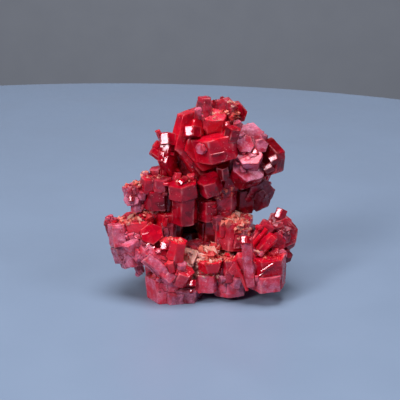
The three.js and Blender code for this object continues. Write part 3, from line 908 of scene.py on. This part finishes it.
CRUST_PATCHES = (
    Patch("crusted_block", (5.8, -1.6, 12.6), (3.4, 3.0, 1.6), 900, 0.17, 0.6),
    Patch("crusted_block", (6.9, -3.4, 11.4), (1.6, 1.4, 1.8), 260, 0.14, 0.45, (0.2, -0.95, 0.2)),
    Patch("left_lobe_crystals", (-9.6, -2.2, 13.4), (3.8, 2.6, 1.6), 700, 0.15, 0.45),
    Patch("left_lobe_crystals", (-4.4, -5.8, 10.8), (1.9, 1.6, 1.2), 180, 0.12, 0.3),
    Patch("left_lobe_crystals", (-5.4, -2.4, 14.2), (1.6, 1.6, 0.7), 60, 0.1, 0.3),
    Patch("rim_crystals", (2.0, -4.8, 7.3), (2.6, 2.2, 0.8), 420, 0.14, 0.6),
    Patch("rim_crystals", (4.9, -4.2, 7.3), (2.0, 2.0, 0.8), 160, 0.12, 0.6),
    Patch("rim_crystals", (1.0, -4.6, 4.8), (2.4, 2.0, 0.7), 160, 0.11, 0.7),
    Patch("rim_crystals", (4.8, -4.2, 3.9), (2.4, 2.2, 0.7), 160, 0.11, 0.8),
    Patch("right_lobe_crystals", (10.6, -5.2, 8.0), (3.2, 2.4, 0.7), 160, 0.1, 0.35),
    Patch("left_arm_crystals", (-10.4, -2.2, 18.8), (1.9, 1.6, 0.9), 150, 0.12, 0.4),
    Patch("left_arm_crystals", (-6.6, -2.2, 20.3), (3.0, 1.8, 0.9), 160, 0.1, 0.35),
    Patch("left_arm_crystals", (-2.4, -2.2, 20.0), (2.2, 1.6, 0.7), 70, 0.1, 0.35),
    Patch("column_crystals", (3.4, -1.2, 17.6), (2.4, 2.0, 1.4), 160, 0.12, 0.25, (0.1, -0.9, 0.4)),
    Patch("head_crystals", (4.9, 0.9, 29.6), (1.2, 1.8, 2.4), 220, 0.12, 0.5, (0.6, -0.6, 0.5)),
    Patch("head_crystals", (1.9, -0.4, 29.4), (2.2, 2.0, 1.2), 120, 0.1, 0.3),
    Patch("matrix", (1.2, -2.8, 8.0), (4.6, 3.6, 1.8), 1500, 0.2, 0.55),
    Patch("foot_crystals", (-5.6, -5.2, 3.6), (2.8, 2.0, 1.2), 90, 0.1, 0.4),
)

ROCK_LUMPS = (
    ((0.5, 0.2, 4.6), (8.6, 5.6, 3.0)),
    ((2.2, 2.6, 13.0), (3.0, 2.4, 9.0)),
    ((1.6, 2.6, 22.4), (4.6, 2.6, 4.4)),
)

ROCK_SLABS = (
    plate((0.9, -3.9, 8.0), 1.5, 0.6, (-80, 68), 10, skin=F),
    plate((-1.0, -3.7, 7.6), 1.1, 0.7, (-100, 60), 0, skin=F),
    plate((2.2, -3.2, 8.2), 1.0, 0.6, (-70, 72), 24, skin=F),
    plate((0.0, -4.3, 7.0), 0.9, 0.6, (-100, 50), 16, skin=F),
    plate((-1.6, -4.6, 6.4), 0.8, 0.6, (-60, 55), 5, skin=F),
)


def ball(
    middle: tuple, half: tuple, rng: np.random.Generator, rows: int, columns: int, rough: tuple
) -> Surface:
    """A lump: an ellipsoid in polar form whose radius is stretched by several ripples.

    Args:
        middle: centre.
        half: half sizes along X, Y and Z.
        rng: random source.
        rows: number of rings.
        columns: points in a ring.
        rough: pairs of ripple size and height.

    Returns:
        The closed surface, with the layer local.
    """
    polar = np.linspace(math.pi, 0, rows + 2)[1:-1, None]
    around = np.linspace(0, math.tau, columns, endpoint=False)[None]
    axes = np.broadcast_arrays(np.sin(polar) * np.cos(around), np.sin(polar) * np.sin(around), np.cos(polar))
    unit = np.stack(axes, -1)
    unit = np.vstack([[[0, 0, -1]], unit.reshape(-1, 3), [[0, 0, 1]]])
    base = unit * np.array(half)
    height = sum(tall * Ripple(rng, size)(base) for size, tall in rough)
    points = np.array(middle) + base + unit * height[:, None]
    quads, triangles = tube_faces(rows, columns)
    return Surface(points, quads, triangles, {"local": base})


# ---- Joining ----


def joined(surfaces: list[Surface], name: str, trims: list[bpy.types.Mesh] | None = None) -> bpy.types.Object:
    """One closed object from overlapping closed surfaces.

    Args:
        surfaces: closed surfaces.
        name: name of the object.
        trims: meshes whose insides are cut away.

    Returns:
        The object, in the scene, with its modifiers applied.
    """
    box = bpy.data.collections.new(f"{name}_members")
    bpy.context.scene.collection.children.link(box)
    meshes = [surface.mesh(f"{name}_{number}") for number, surface in enumerate(surfaces)]
    made = bpy.data.objects.new(name, meshes[0])
    bpy.context.scene.collection.objects.link(made)
    members = [bpy.data.objects.new(mesh.name, mesh) for mesh in meshes[1:]]
    for member in members:
        box.objects.link(member)
    if members:
        union = made.modifiers.new("union", "BOOLEAN")
        union.operation, union.solver = "UNION", "MANIFOLD"
        union.operand_type, union.collection = "COLLECTION", box
    cutters = []
    for number, mesh in enumerate(trims or []):
        cutter = bpy.data.objects.new(f"{name}_trim_{number}", mesh)
        bpy.context.scene.collection.objects.link(cutter)
        cutters.append(cutter)
        cut = made.modifiers.new("trim", "BOOLEAN")
        cut.operation, cut.solver, cut.object = "DIFFERENCE", "MANIFOLD", cutter
    depsgraph = bpy.context.evaluated_depsgraph_get()
    final = bpy.data.meshes.new_from_object(made.evaluated_get(depsgraph))
    made.modifiers.clear()
    made.data = final
    final.name = name
    for other in members + cutters:
        bpy.data.objects.remove(other)
    bpy.data.collections.remove(box)
    for mesh in meshes:
        bpy.data.meshes.remove(mesh)
    for attribute in [a.name for a in final.attributes if a.name.startswith("sharp")]:
        final.attributes.remove(final.attributes[attribute])
    final.shade_smooth()
    final.set_sharp_from_angle(angle=math.radians(CREASE))
    return made


def grain_shape() -> tuple[np.ndarray, np.ndarray]:
    """A grain of unit size: an octahedron whose corners are pushed about a little.

    Returns:
        Its corners and its triangles.
    """
    corners = np.vstack([np.eye(3), -np.eye(3)]) * np.array([1.0, 0.8, 0.9, 0.8, 1.1, 0.7])[:, None]
    corners += np.array(
        [[0, 0.2, 0.1], [0.2, 0, -0.1], [0.1, -0.2, 0], [0, 0.1, 0.2], [-0.2, 0, 0.1], [0.1, 0.2, 0]]
    )
    faces = np.array([[0, 1, 2], [1, 3, 2], [3, 4, 2], [4, 0, 2], [1, 0, 5], [3, 1, 5], [4, 3, 5], [0, 4, 5]])
    return corners, faces


def ground_block() -> bpy.types.Mesh:
    """A block that fills the space under the resting plane.

    Returns:
        Its mesh.
    """
    surface = np.array([[x, y, z] for z in (-30.0, 0.0) for y in (-40.0, 40.0) for x in (-40.0, 40.0)])
    quads = np.array([[0, 2, 3, 1], [4, 5, 7, 6], [0, 1, 5, 4], [1, 3, 7, 5], [3, 2, 6, 7], [2, 0, 4, 6]])
    return Surface(surface, quads, np.zeros((0, 3), int)).mesh("ground_block")


# ---- Finishes ----


class Nodes:
    """A short way to write a material's node tree."""

    def __init__(self, name: str) -> None:
        """Makes an empty material with a Principled shader.

        Args:
            name: name of the material.
        """
        self.material = bpy.data.materials.new(name)
        self.material.use_nodes = True
        self.tree = self.material.node_tree
        self.tree.nodes.clear()
        output = self.tree.nodes.new("ShaderNodeOutputMaterial")
        self.shader = self.tree.nodes.new("ShaderNodeBsdfPrincipled")
        self.link(self.shader.outputs[0], output.inputs[0])

    def link(self, source: bpy.types.NodeSocket, target: bpy.types.NodeSocket) -> None:
        """Joins an output to an input."""
        self.tree.links.new(source, target)

    def feed(self, target: bpy.types.NodeSocket, value: object) -> None:
        """Links an output to an input, or sets the input.

        Args:
            target: the input.
            value: an output, a plain value, or None to leave the input alone.
        """
        if isinstance(value, bpy.types.NodeSocket):
            self.link(value, target)
        elif value is not None:
            target.default_value = value

    def layer(self, name: str) -> bpy.types.NodeSocket:
        """A vertex layer's value.

        Args:
            name: name of the layer.

        Returns:
            The output that carries it.
        """
        node = self.tree.nodes.new("ShaderNodeAttribute")
        node.attribute_name = name
        return node.outputs["Vector" if name == "local" else "Fac"]

    def place(self) -> bpy.types.NodeSocket:
        """The place on the object, in metres."""
        return self.tree.nodes.new("ShaderNodeTexCoord").outputs["Object"]

    def noise(self, scale: float, detail: float = 3, rough: float = 0.55) -> bpy.types.NodeSocket:
        """Noise between 0 and 1 in the place on the object.

        Args:
            scale: crests a metre.
            detail: number of finer layers.
            rough: strength of each finer layer beside the one before.

        Returns:
            The noise.
        """
        node = self.tree.nodes.new("ShaderNodeTexNoise")
        self.feed(node.inputs["Vector"], self.place())
        node.inputs["Scale"].default_value = scale
        node.inputs["Detail"].default_value = detail
        node.inputs["Roughness"].default_value = rough
        return node.outputs["Fac"]

    def grains(self, scale: float) -> bpy.types.NodeSocket:
        """Distance to the nearest of points scattered over the object.

        Args:
            scale: points a metre.

        Returns:
            The distance, as a share of their spacing.
        """
        node = self.tree.nodes.new("ShaderNodeTexVoronoi")
        self.feed(node.inputs["Vector"], self.place())
        node.inputs["Scale"].default_value = scale
        return node.outputs["Distance"]

    def blocks(self, scale: float) -> bpy.types.NodeSocket:
        """A random value for each of many block-like cells that lie square to a crystal's own axes.

        Args:
            scale: cells a millimetre.

        Returns:
            The value, between 0 and 1.
        """
        node = self.tree.nodes.new("ShaderNodeTexVoronoi")
        node.distance = "CHEBYCHEV"
        self.feed(node.inputs["Vector"], self.layer("local"))
        node.inputs["Scale"].default_value = scale
        return node.outputs["Color"]

    def maths(self, kind: str, a: object, b: object = None, clamp: bool = False) -> bpy.types.NodeSocket:
        """A sum, product or other operation on two values.

        Args:
            kind: Blender's name of the operation.
            a: first value or output.
            b: second value or output.
            clamp: whether the result is held between 0 and 1.

        Returns:
            The result.
        """
        node = self.tree.nodes.new("ShaderNodeMath")
        node.operation, node.use_clamp = kind, clamp
        self.feed(node.inputs[0], a)
        self.feed(node.inputs[1], b)
        return node.outputs[0]

    def span(
        self, value: object, low: float, high: float, to_low: float = 0, to_high: float = 1
    ) -> bpy.types.NodeSocket:
        """A value moved from one range to another, smoothly, and held at the ends.

        Args:
            value: the value.
            low: lower end of its range.
            high: upper end of its range.
            to_low: what the lower end becomes.
            to_high: what the upper end becomes.

        Returns:
            The moved value.
        """
        node = self.tree.nodes.new("ShaderNodeMapRange")
        node.interpolation_type = "SMOOTHSTEP"
        for socket, content in zip(node.inputs, (value, low, high, to_low, to_high)):
            self.feed(socket, content)
        return node.outputs[0]

    def blend(self, share: object, first: object, second: object) -> bpy.types.NodeSocket:
        """A mix of two colours.

        Args:
            share: share of the second colour.
            first: first colour.
            second: second colour.

        Returns:
            The mix.
        """
        node = self.tree.nodes.new("ShaderNodeMix")
        node.data_type = "RGBA"
        self.feed(node.inputs["Factor"], share)
        self.feed(node.inputs[6], first)
        self.feed(node.inputs[7], second)
        return node.outputs[2]

    def bump(self, height: object, distance: float, strength: float) -> bpy.types.NodeSocket:
        """A bumped normal.

        Args:
            height: height of the relief, from 0 to 1.
            distance: depth that a height of 1 stands for, in metres.
            strength: how strongly the normal follows it.

        Returns:
            The normal.
        """
        node = self.tree.nodes.new("ShaderNodeBump")
        node.inputs["Strength"].default_value = strength
        node.inputs["Distance"].default_value = distance
        self.feed(node.inputs["Height"], height)
        return node.outputs[0]

    def surface(self, **sockets: object) -> bpy.types.Material:
        """Feeds the shader's inputs.

        Args:
            sockets: what each input gets, under its name with underscores for spaces.

        Returns:
            The material.
        """
        for key, value in sockets.items():
            self.feed(self.shader.inputs[key.replace("_", " ")], value)
        return self.material


Colour = tuple[float, float, float, float]


@dataclass(frozen=True)
class VanadiniteFinish:
    """Deep red translucent crystal with an adamantine lustre.

    Attributes:
        deep: colour of the darkest crystals, which also serves as painted shade.
        body: usual colour.
        bright: colour of the brightest crystals, which also serves as a painted glow of light through the crystal.
        frost_and_sheen: colour where the surface is pitted, which also serves as a painted lilac sheen of
            reflected light.
        edge: colour of thin edges, a painted highlight.
        pit_and_sparkle: colour of the finest pits, which also serves as a painted sparkle of tiny glints.
        gleam: colour of what it mirrors.
        refraction: refractive index.
    """

    deep: Colour = (0.16, 0.001, 0.005, 1)
    body: Colour = (0.45, 0.0015, 0.017, 1)
    bright: Colour = (0.74, 0.006, 0.027, 1)
    frost_and_sheen: Colour = (0.7, 0.2, 0.34, 1)
    edge: Colour = (0.85, 0.26, 0.29, 1)
    pit_and_sparkle: Colour = (0.95, 0.6, 0.66, 1)
    gleam: Colour = (1.0, 0.74, 0.86, 1)
    refraction: float = 1.52

    def material(self) -> bpy.types.Material:
        """The node material.

        Returns:
            The material.
        """
        n = Nodes("vanadinite")
        cloud = n.maths("MULTIPLY", n.maths("SUBTRACT", n.noise(420, 4, 0.6), 0.5), 1.1)
        block = n.maths("MULTIPLY", n.maths("SUBTRACT", n.blocks(0.75), 0.5), 0.4)
        # The tint layer picks between deep, body and bright: each crystal's own tone, and in part painted shade
        # and painted glow.
        tint = n.maths("ADD", n.layer("tint"), n.maths("ADD", cloud, block))
        colour = n.blend(n.span(tint, 0.1, 0.5), self.deep, self.body)
        colour = n.blend(n.span(tint, 0.45, 0.95), colour, self.bright)
        mirror = n.span(n.layer("frost_and_sheen"), -1.0, 0.0)
        # Frosted faces turn pale lilac: partly pitting, partly a painted sheen of reflected light.
        pitted = n.span(n.noise(700, 4), 0.35, 0.68, 0.15, 1.0)
        frost_and_sheen = n.maths("MULTIPLY", n.layer("frost_and_sheen"), pitted, clamp=True)
        colour = n.blend(frost_and_sheen, colour, self.frost_and_sheen)
        # Pale specks on frosted faces and sparsely everywhere: partly the finest pits, partly a painted sparkle of
        # tiny glints.
        pit_and_sparkle = n.maths("MULTIPLY", frost_and_sheen, n.span(n.noise(5200, 2), 0.56, 0.68, 0.0, 0.6))
        colour = n.blend(pit_and_sparkle, colour, self.pit_and_sparkle)
        fleck_and_sparkle = n.span(n.noise(3600, 1), 0.7, 0.74, 0.0, 0.6)
        colour = n.blend(n.maths("MULTIPLY", fleck_and_sparkle, n.span(n.noise(450, 2), 0.45, 0.6)), colour, self.pit_and_sparkle)
        # Painted highlight along corners and rims, in patches that a noise picks.
        edge = n.maths("MULTIPLY", n.layer("edge"), n.span(n.noise(520, 3), 0.46, 0.66, 0.0, 0.75))
        colour = n.blend(edge, colour, self.edge)
        fine = n.noise(5200, 3)
        dull = n.span(n.blocks(1.1), 0.62, 0.66, 0.0, 0.16)
        rough = n.maths("ADD", dull, n.maths("MULTIPLY", frost_and_sheen, 0.3))
        rough = n.maths("ADD", n.span(n.noise(500, 3), 0.35, 0.7, 0.0, 0.1), rough)
        rough = n.maths("ADD", n.maths("MULTIPLY", rough, mirror), 0.05)
        grain = n.maths("MULTIPLY", fine, n.maths("ADD", n.maths("MULTIPLY", frost_and_sheen, 0.6), 0.3))
        height = n.maths("ADD", n.maths("MULTIPLY", n.noise(900, 3), 0.5), grain)
        normal = n.bump(height, 0.00006, 0.6)
        return n.surface(
            Base_Color=colour,
            Roughness=rough,
            Normal=normal,
            IOR=self.refraction,
            Specular_Tint=self.gleam,
            Subsurface_Weight=0.4,
            Subsurface_Radius=(1.0, 0.06, 0.05),
            Subsurface_Scale=0.001,
        )


@dataclass(frozen=True)
class RockFinish:
    """Granular brown to tan host rock.

    Attributes:
        dark: darkest colour, in patches that a broad noise picks.
        body: usual colour.
        pale: colour of its grains.
    """

    dark: Colour = (0.16, 0.025, 0.02, 1)
    body: Colour = (0.45, 0.11, 0.07, 1)
    pale: Colour = (0.86, 0.46, 0.42, 1)

    def material(self) -> bpy.types.Material:
        """The node material.

        Returns:
            The material.
        """
        n = Nodes("host_rock")
        broad, grains = n.noise(380, 5), n.grains(2200)
        colour = n.blend(n.span(broad, 0.35, 0.6), self.dark, self.body)
        colour = n.blend(n.span(n.noise(1500, 4), 0.5, 0.7), colour, self.pale)
        bleached = n.span(n.noise(900, 4), 0.3, 0.6, 0.6, 1.3)
        colour = n.blend(n.maths("MULTIPLY", n.layer("frost_and_sheen"), bleached, clamp=True), colour, self.pale)
        height = n.maths("ADD", n.maths("MULTIPLY", n.noise(2400, 5), 0.8), n.maths("MULTIPLY", grains, -0.5))
        return n.surface(
            Base_Color=colour,
            Roughness=n.span(broad, 0.3, 0.7, 0.6, 0.9),
            Normal=n.bump(height, 0.00025, 0.9),
            Subsurface_Weight=0.1,
            Subsurface_Radius=(1.0, 0.4, 0.2),
            Subsurface_Scale=0.0008,
        )


@dataclass(frozen=True)
class CrustFinish:
    """Tan, orange and reddish grains.

    Attributes:
        red: colour of the reddest grains.
        orange: colour between.
        tan: colour of the palest grains.
    """

    red: Colour = (0.6, 0.02, 0.03, 1)
    orange: Colour = (0.85, 0.16, 0.12, 1)
    tan: Colour = (0.8, 0.37, 0.31, 1)

    def material(self) -> bpy.types.Material:
        """The node material.

        Returns:
            The material.
        """
        n = Nodes("tan_crust")
        cloud = n.maths("MULTIPLY", n.maths("SUBTRACT", n.noise(2500, 3), 0.5), 0.4)
        tint = n.maths("ADD", n.layer("tint"), cloud)
        colour = n.blend(n.span(tint, 0.1, 0.45), self.red, self.orange)
        colour = n.blend(n.span(tint, 0.4, 0.9), colour, self.tan)
        return n.surface(
            Base_Color=colour,
            Roughness=n.span(n.noise(1800, 2), 0.3, 0.7, 0.25, 0.6),
            Normal=n.bump(n.noise(6000, 3), 0.00004, 0.6),
            Subsurface_Weight=0.3,
            Subsurface_Radius=(1.0, 0.35, 0.2),
            Subsurface_Scale=0.0005,
        )


@dataclass(frozen=True)
class TableFinish:
    """Pale, faintly blue and slightly glossy coat of the table and the wall.

    Attributes:
        colour: its colour.
    """

    colour: Colour = (0.216, 0.283, 0.412, 1)

    def material(self) -> bpy.types.Material:
        """The node material.

        Returns:
            The material.
        """
        n = Nodes("table")
        darker = tuple(0.9 * part for part in self.colour[:3]) + (1,)
        tone = n.blend(n.span(n.noise(40, 3), 0.3, 0.7, 0, 0.25), self.colour, darker)
        return n.surface(Base_Color=tone, Roughness=n.span(n.noise(60, 3), 0.3, 0.7, 0.3, 0.5))


# ---- Sub-assemblies ----


@dataclass
class CrystalGroup:
    """A group of crystals that have grown through each other, as one closed piece.

    Attributes:
        name: the group's name, which is its CAD node's.
        crystals: its crystals.
        seed: seed of its relief and of its smaller crystals.
        tries: places on each crystal that may get a seedling.
    """

    name: str
    crystals: list[Crystal]
    seed: int
    tries: int = 26

    def grown(self, crystal: Crystal, number: int) -> Surface:
        """One crystal's surface. Larger crystals have larger mesh cells and wider bevels.

        Args:
            crystal: the crystal.
            number: its number in the group.

        Returns:
            The surface.
        """
        radius = crystal.radius
        cell = min(0.136 + 0.0125 * radius, 0.063 + 0.125 * radius)
        bevel = float(np.clip(0.03 * radius + 0.02, 0.025, 0.13))
        return CrystalSurface(crystal, self.seed * 1000 + number, cell, bevel).build()

    def surfaces(self) -> list[Surface]:
        """Every crystal's surface, with those of its brood, the details and the seedlings.

        Returns:
            The closed surfaces, which overlap.
        """
        rng = np.random.default_rng(self.seed)
        family = [member for crystal in self.crystals for member in (crystal, *brood_of(crystal, rng))]
        family += [replace(crystal, brood=0) for crystal in DETAILS.get(self.name, [])]
        made = [self.grown(member, number) for number, member in enumerate(family)]
        return made + [small_surface(member) for member in seedlings(family, rng, self.tries)]

    def build(self, finish: bpy.types.Material) -> bpy.types.Object:
        """Makes the piece and dresses it.

        Args:
            finish: its material.

        Returns:
            The piece.
        """
        piece = joined(self.surfaces(), f"{self.name}_grown", [ground_block()])
        piece.data.materials.clear()
        piece.data.materials.append(finish)
        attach(piece, "root")
        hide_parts(self.name)
        LOG.info("%s: %d faces", piece.name, len(piece.data.polygons))
        return piece


@dataclass
class HostRock:
    """The brown rock that the crystals stand on, with pale slabs in its bowl.

    Attributes:
        lumps: centre and half sizes of each lump, in millimetres.
        slabs: the slabs, placed as crystals are.
        rough: pairs of ripple size and height, in millimetres.
        seed: seed of its roughness.
    """

    lumps: tuple = ROCK_LUMPS
    slabs: tuple = ROCK_SLABS
    rough: tuple = ((3.2, 0.25), (1.2, 0.16), (0.5, 0.07))
    seed: int = 7

    def build(self, finish: bpy.types.Material) -> bpy.types.Object:
        """Makes the piece and dresses it.

        Args:
            finish: its material.

        Returns:
            The piece.
        """
        rng = np.random.default_rng(self.seed)
        surfaces = [ball(middle, half, rng, 110, 180, self.rough) for middle, half in self.lumps]
        surfaces += [CrystalSurface(slab, seed).build() for seed, slab in enumerate(self.slabs, self.seed)]
        piece = joined(surfaces, "host_rock_rough", [ground_block()])
        piece.data.materials.clear()
        piece.data.materials.append(finish)
        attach(piece, "root")
        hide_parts("matrix")
        LOG.info("%s: %d faces", piece.name, len(piece.data.polygons))
        return piece


@dataclass
class Crust:
    """Tan and orange grains that cover parts of the crystals' upward faces.

    Attributes:
        patches: the places.
        seed: seed of the grains.
    """

    patches: tuple[Patch, ...]
    seed: int = 5

    def build(self, pieces: dict[str, bpy.types.Object], finish: bpy.types.Material) -> bpy.types.Object:
        """Makes all grains as one piece and dresses it.

        Args:
            pieces: the pieces that carry the grains, by their group's name.
            finish: the grains' material.

        Returns:
            The piece.
        """
        rng = np.random.default_rng(self.seed)
        shape, faces = grain_shape()
        places, sizes, tints = [], [], []
        for patch in self.patches:
            mesh = pieces[patch.group].data
            points, normals = np.empty((2, len(mesh.vertices) * 3), np.float32)
            mesh.vertices.foreach_get("co", points)
            mesh.vertices.foreach_get("normal", normals)
            points, normals = points.reshape(-1, 3) / MM + MIDDLE, normals.reshape(-1, 3)
            inside = (((points - patch.at) / patch.half) ** 2).sum(-1) < 1
            chosen = np.flatnonzero(inside & (normals @ np.array(patch.facing) > 0.55))
            if len(chosen) == 0:
                LOG.warning("no surface at %s", patch.at)
                continue
            cover = np.clip(Ripple(rng, 1.2)(points[chosen]) + 1.0, 0.02, 2)
            chosen = rng.choice(chosen, patch.count, p=cover / cover.sum())
            size = 0.9 * patch.size * rng.lognormal(0, 0.6, patch.count)
            rise = rng.uniform(-0.3, 0.6, (patch.count, 1))
            places.append(points[chosen] + normals[chosen] * rise * size[:, None])
            sizes.append(size)
            clump = Ripple(rng, 1.4)(points[chosen])
            tints.append(np.clip(patch.tint + 0.35 * clump + rng.normal(0, 0.2, patch.count), 0, 1))
        places, sizes, tints = (np.concatenate(each) for each in (places, sizes, tints))
        turns = np.linalg.qr(rng.normal(size=(len(places), 3, 3)))[0]
        turns *= np.sign(np.linalg.det(turns))[:, None, None]
        stretch = rng.uniform(0.6, 1.3, (len(places), 1, 3))
        turned = np.einsum("kij,kvj->kvi", turns, shape[None] * stretch)
        points = places[:, None] + turned * sizes[:, None, None]
        offsets = np.arange(len(places))[:, None, None] * len(shape)
        surface = Surface(
            points.reshape(-1, 3),
            np.zeros((0, 4), int),
            (faces[None] + offsets).reshape(-1, 3),
            {"tint": np.repeat(tints, len(shape))},
        )
        mesh = surface.mesh("tan_crust")
        mesh.shade_flat()
        piece = bpy.data.objects.new("tan_crust", mesh)
        bpy.context.scene.collection.objects.link(piece)
        piece.data.materials.append(finish)
        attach(piece, "root")
        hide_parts("matrix")
        LOG.info("tan_crust: %d grains", len(places))
        return piece


@dataclass
class Studio:
    """Table, backdrop, lights and camera.

    Attributes:
        elevation: camera's height above the horizon, in degrees.
        distance: camera's distance from its target, in millimetres.
        target: what the camera looks at, in the layout, in millimetres.
        lens: focal length on a 36 mm sensor.
        table_radius: radius of the round table, in metres.
        table_middle: its middle in plan, in metres.
        room_glow: strength of the even light from all round.
    """

    elevation: float = 20.0
    distance: float = 178.0
    target: tuple = (0.0, 0.0, 15.5)
    lens: float = 100.0
    table_radius: float = 0.18
    table_middle: tuple = (-0.025, -0.0425)
    room_glow: float = 0.02

    def camera(self) -> None:
        """Places the camera: back from the target along a line that rises by the elevation."""
        data = bpy.data.cameras.new("camera")
        data.lens, data.sensor_width = self.lens, 36.0
        data.clip_start, data.clip_end = 0.01, 20
        eye = bpy.data.objects.new("camera", data)
        rise = math.radians(self.elevation)
        aim = (np.array(self.target) - MIDDLE) * MM
        eye.location = aim + self.distance * MM * np.array([0, -math.cos(rise), math.sin(rise)])
        eye.rotation_euler = (math.pi / 2 - rise, 0, 0)
        bpy.context.scene.collection.objects.link(eye)
        bpy.context.scene.camera = eye

    def slab(self, name: str, corners: list, finish: bpy.types.Material) -> None:
        """A flat stage piece.

        Args:
            name: its name.
            corners: its corners in metres, anticlockwise seen from the side that shows.
            finish: its material.
        """
        mesh = bpy.data.meshes.new(name)
        mesh.from_pydata(corners, [], [tuple(range(len(corners)))])
        mesh.materials.append(finish)
        slab = bpy.data.objects.new(name, mesh)
        bpy.context.scene.collection.objects.link(slab)

    def lamp(
        self, name: str, towards: tuple, distance: float, size: tuple, watts: float, colour: tuple
    ) -> None:
        """An area light.

        Args:
            name: its name.
            towards: direction from the specimen to the light.
            distance: its distance, in metres.
            size: its width and height, in metres.
            watts: its power.
            colour: its colour.
        """
        data = bpy.data.lights.new(name, "AREA")
        data.shape, data.size, data.size_y = "RECTANGLE", size[0], size[1]
        data.energy, data.color = watts, colour
        lamp = bpy.data.objects.new(name, data)
        direction = np.array(towards, float)
        direction /= np.linalg.norm(direction)
        lamp.location = direction * distance + np.array([0, 0, 0.015])
        lamp.rotation_euler = Vector(direction).to_track_quat("Z", "Y").to_euler()
        bpy.context.scene.collection.objects.link(lamp)

    def build(self) -> None:
        """Makes the stage."""
        self.camera()
        turns = np.linspace(0, math.tau, 192, endpoint=False)
        across, along = self.table_radius * np.cos(turns), self.table_radius * np.sin(turns)
        rim = np.stack([across + self.table_middle[0], along + self.table_middle[1], 0 * turns], -1)
        self.slab("table", rim.tolist(), TableFinish().material())
        wall = TableFinish((0.53, 0.57, 0.68, 1)).material()
        self.slab("wall", [(-3, 0.6, -2), (3, 0.6, -2), (3, 0.6, 3), (-3, 0.6, 3)], wall)
        world = bpy.data.worlds.new("room")
        world.use_nodes = True
        glow = world.node_tree.nodes["Background"]
        glow.inputs["Color"].default_value = (0.75, 0.85, 1.0, 1)
        glow.inputs["Strength"].default_value = self.room_glow
        bpy.context.scene.world = world
        self.lamp("key", (-0.62, -0.64, 0.6), 0.45, (0.11, 0.11), 1.15, (1, 0.98, 0.95))
        self.lamp("fill", (0.9, -0.45, 0.9), 0.5, (0.2, 0.2), 0.55, (0.95, 0.97, 1))
        self.lamp("top", (-0.02, -0.12, 1.0), 0.4, (0.22, 0.22), 1.75, (1, 1, 1))
        bpy.context.scene.view_settings.view_transform = "Standard"


def main() -> None:
    """Builds every sub-assembly in order."""
    logging.basicConfig(level=logging.INFO, format="%(name)s: %(message)s")
    Studio().build()
    red = VanadiniteFinish().material()
    pieces = {}
    for seed, (name, crystals) in enumerate(GROUPS.items(), 11):
        pieces[name] = CrystalGroup(name, crystals, seed).build(red)
    pieces["matrix"] = HostRock().build(RockFinish().material())
    Crust(CRUST_PATCHES).build(pieces, CrustFinish().material())


if __name__ == "__main__":
    main()
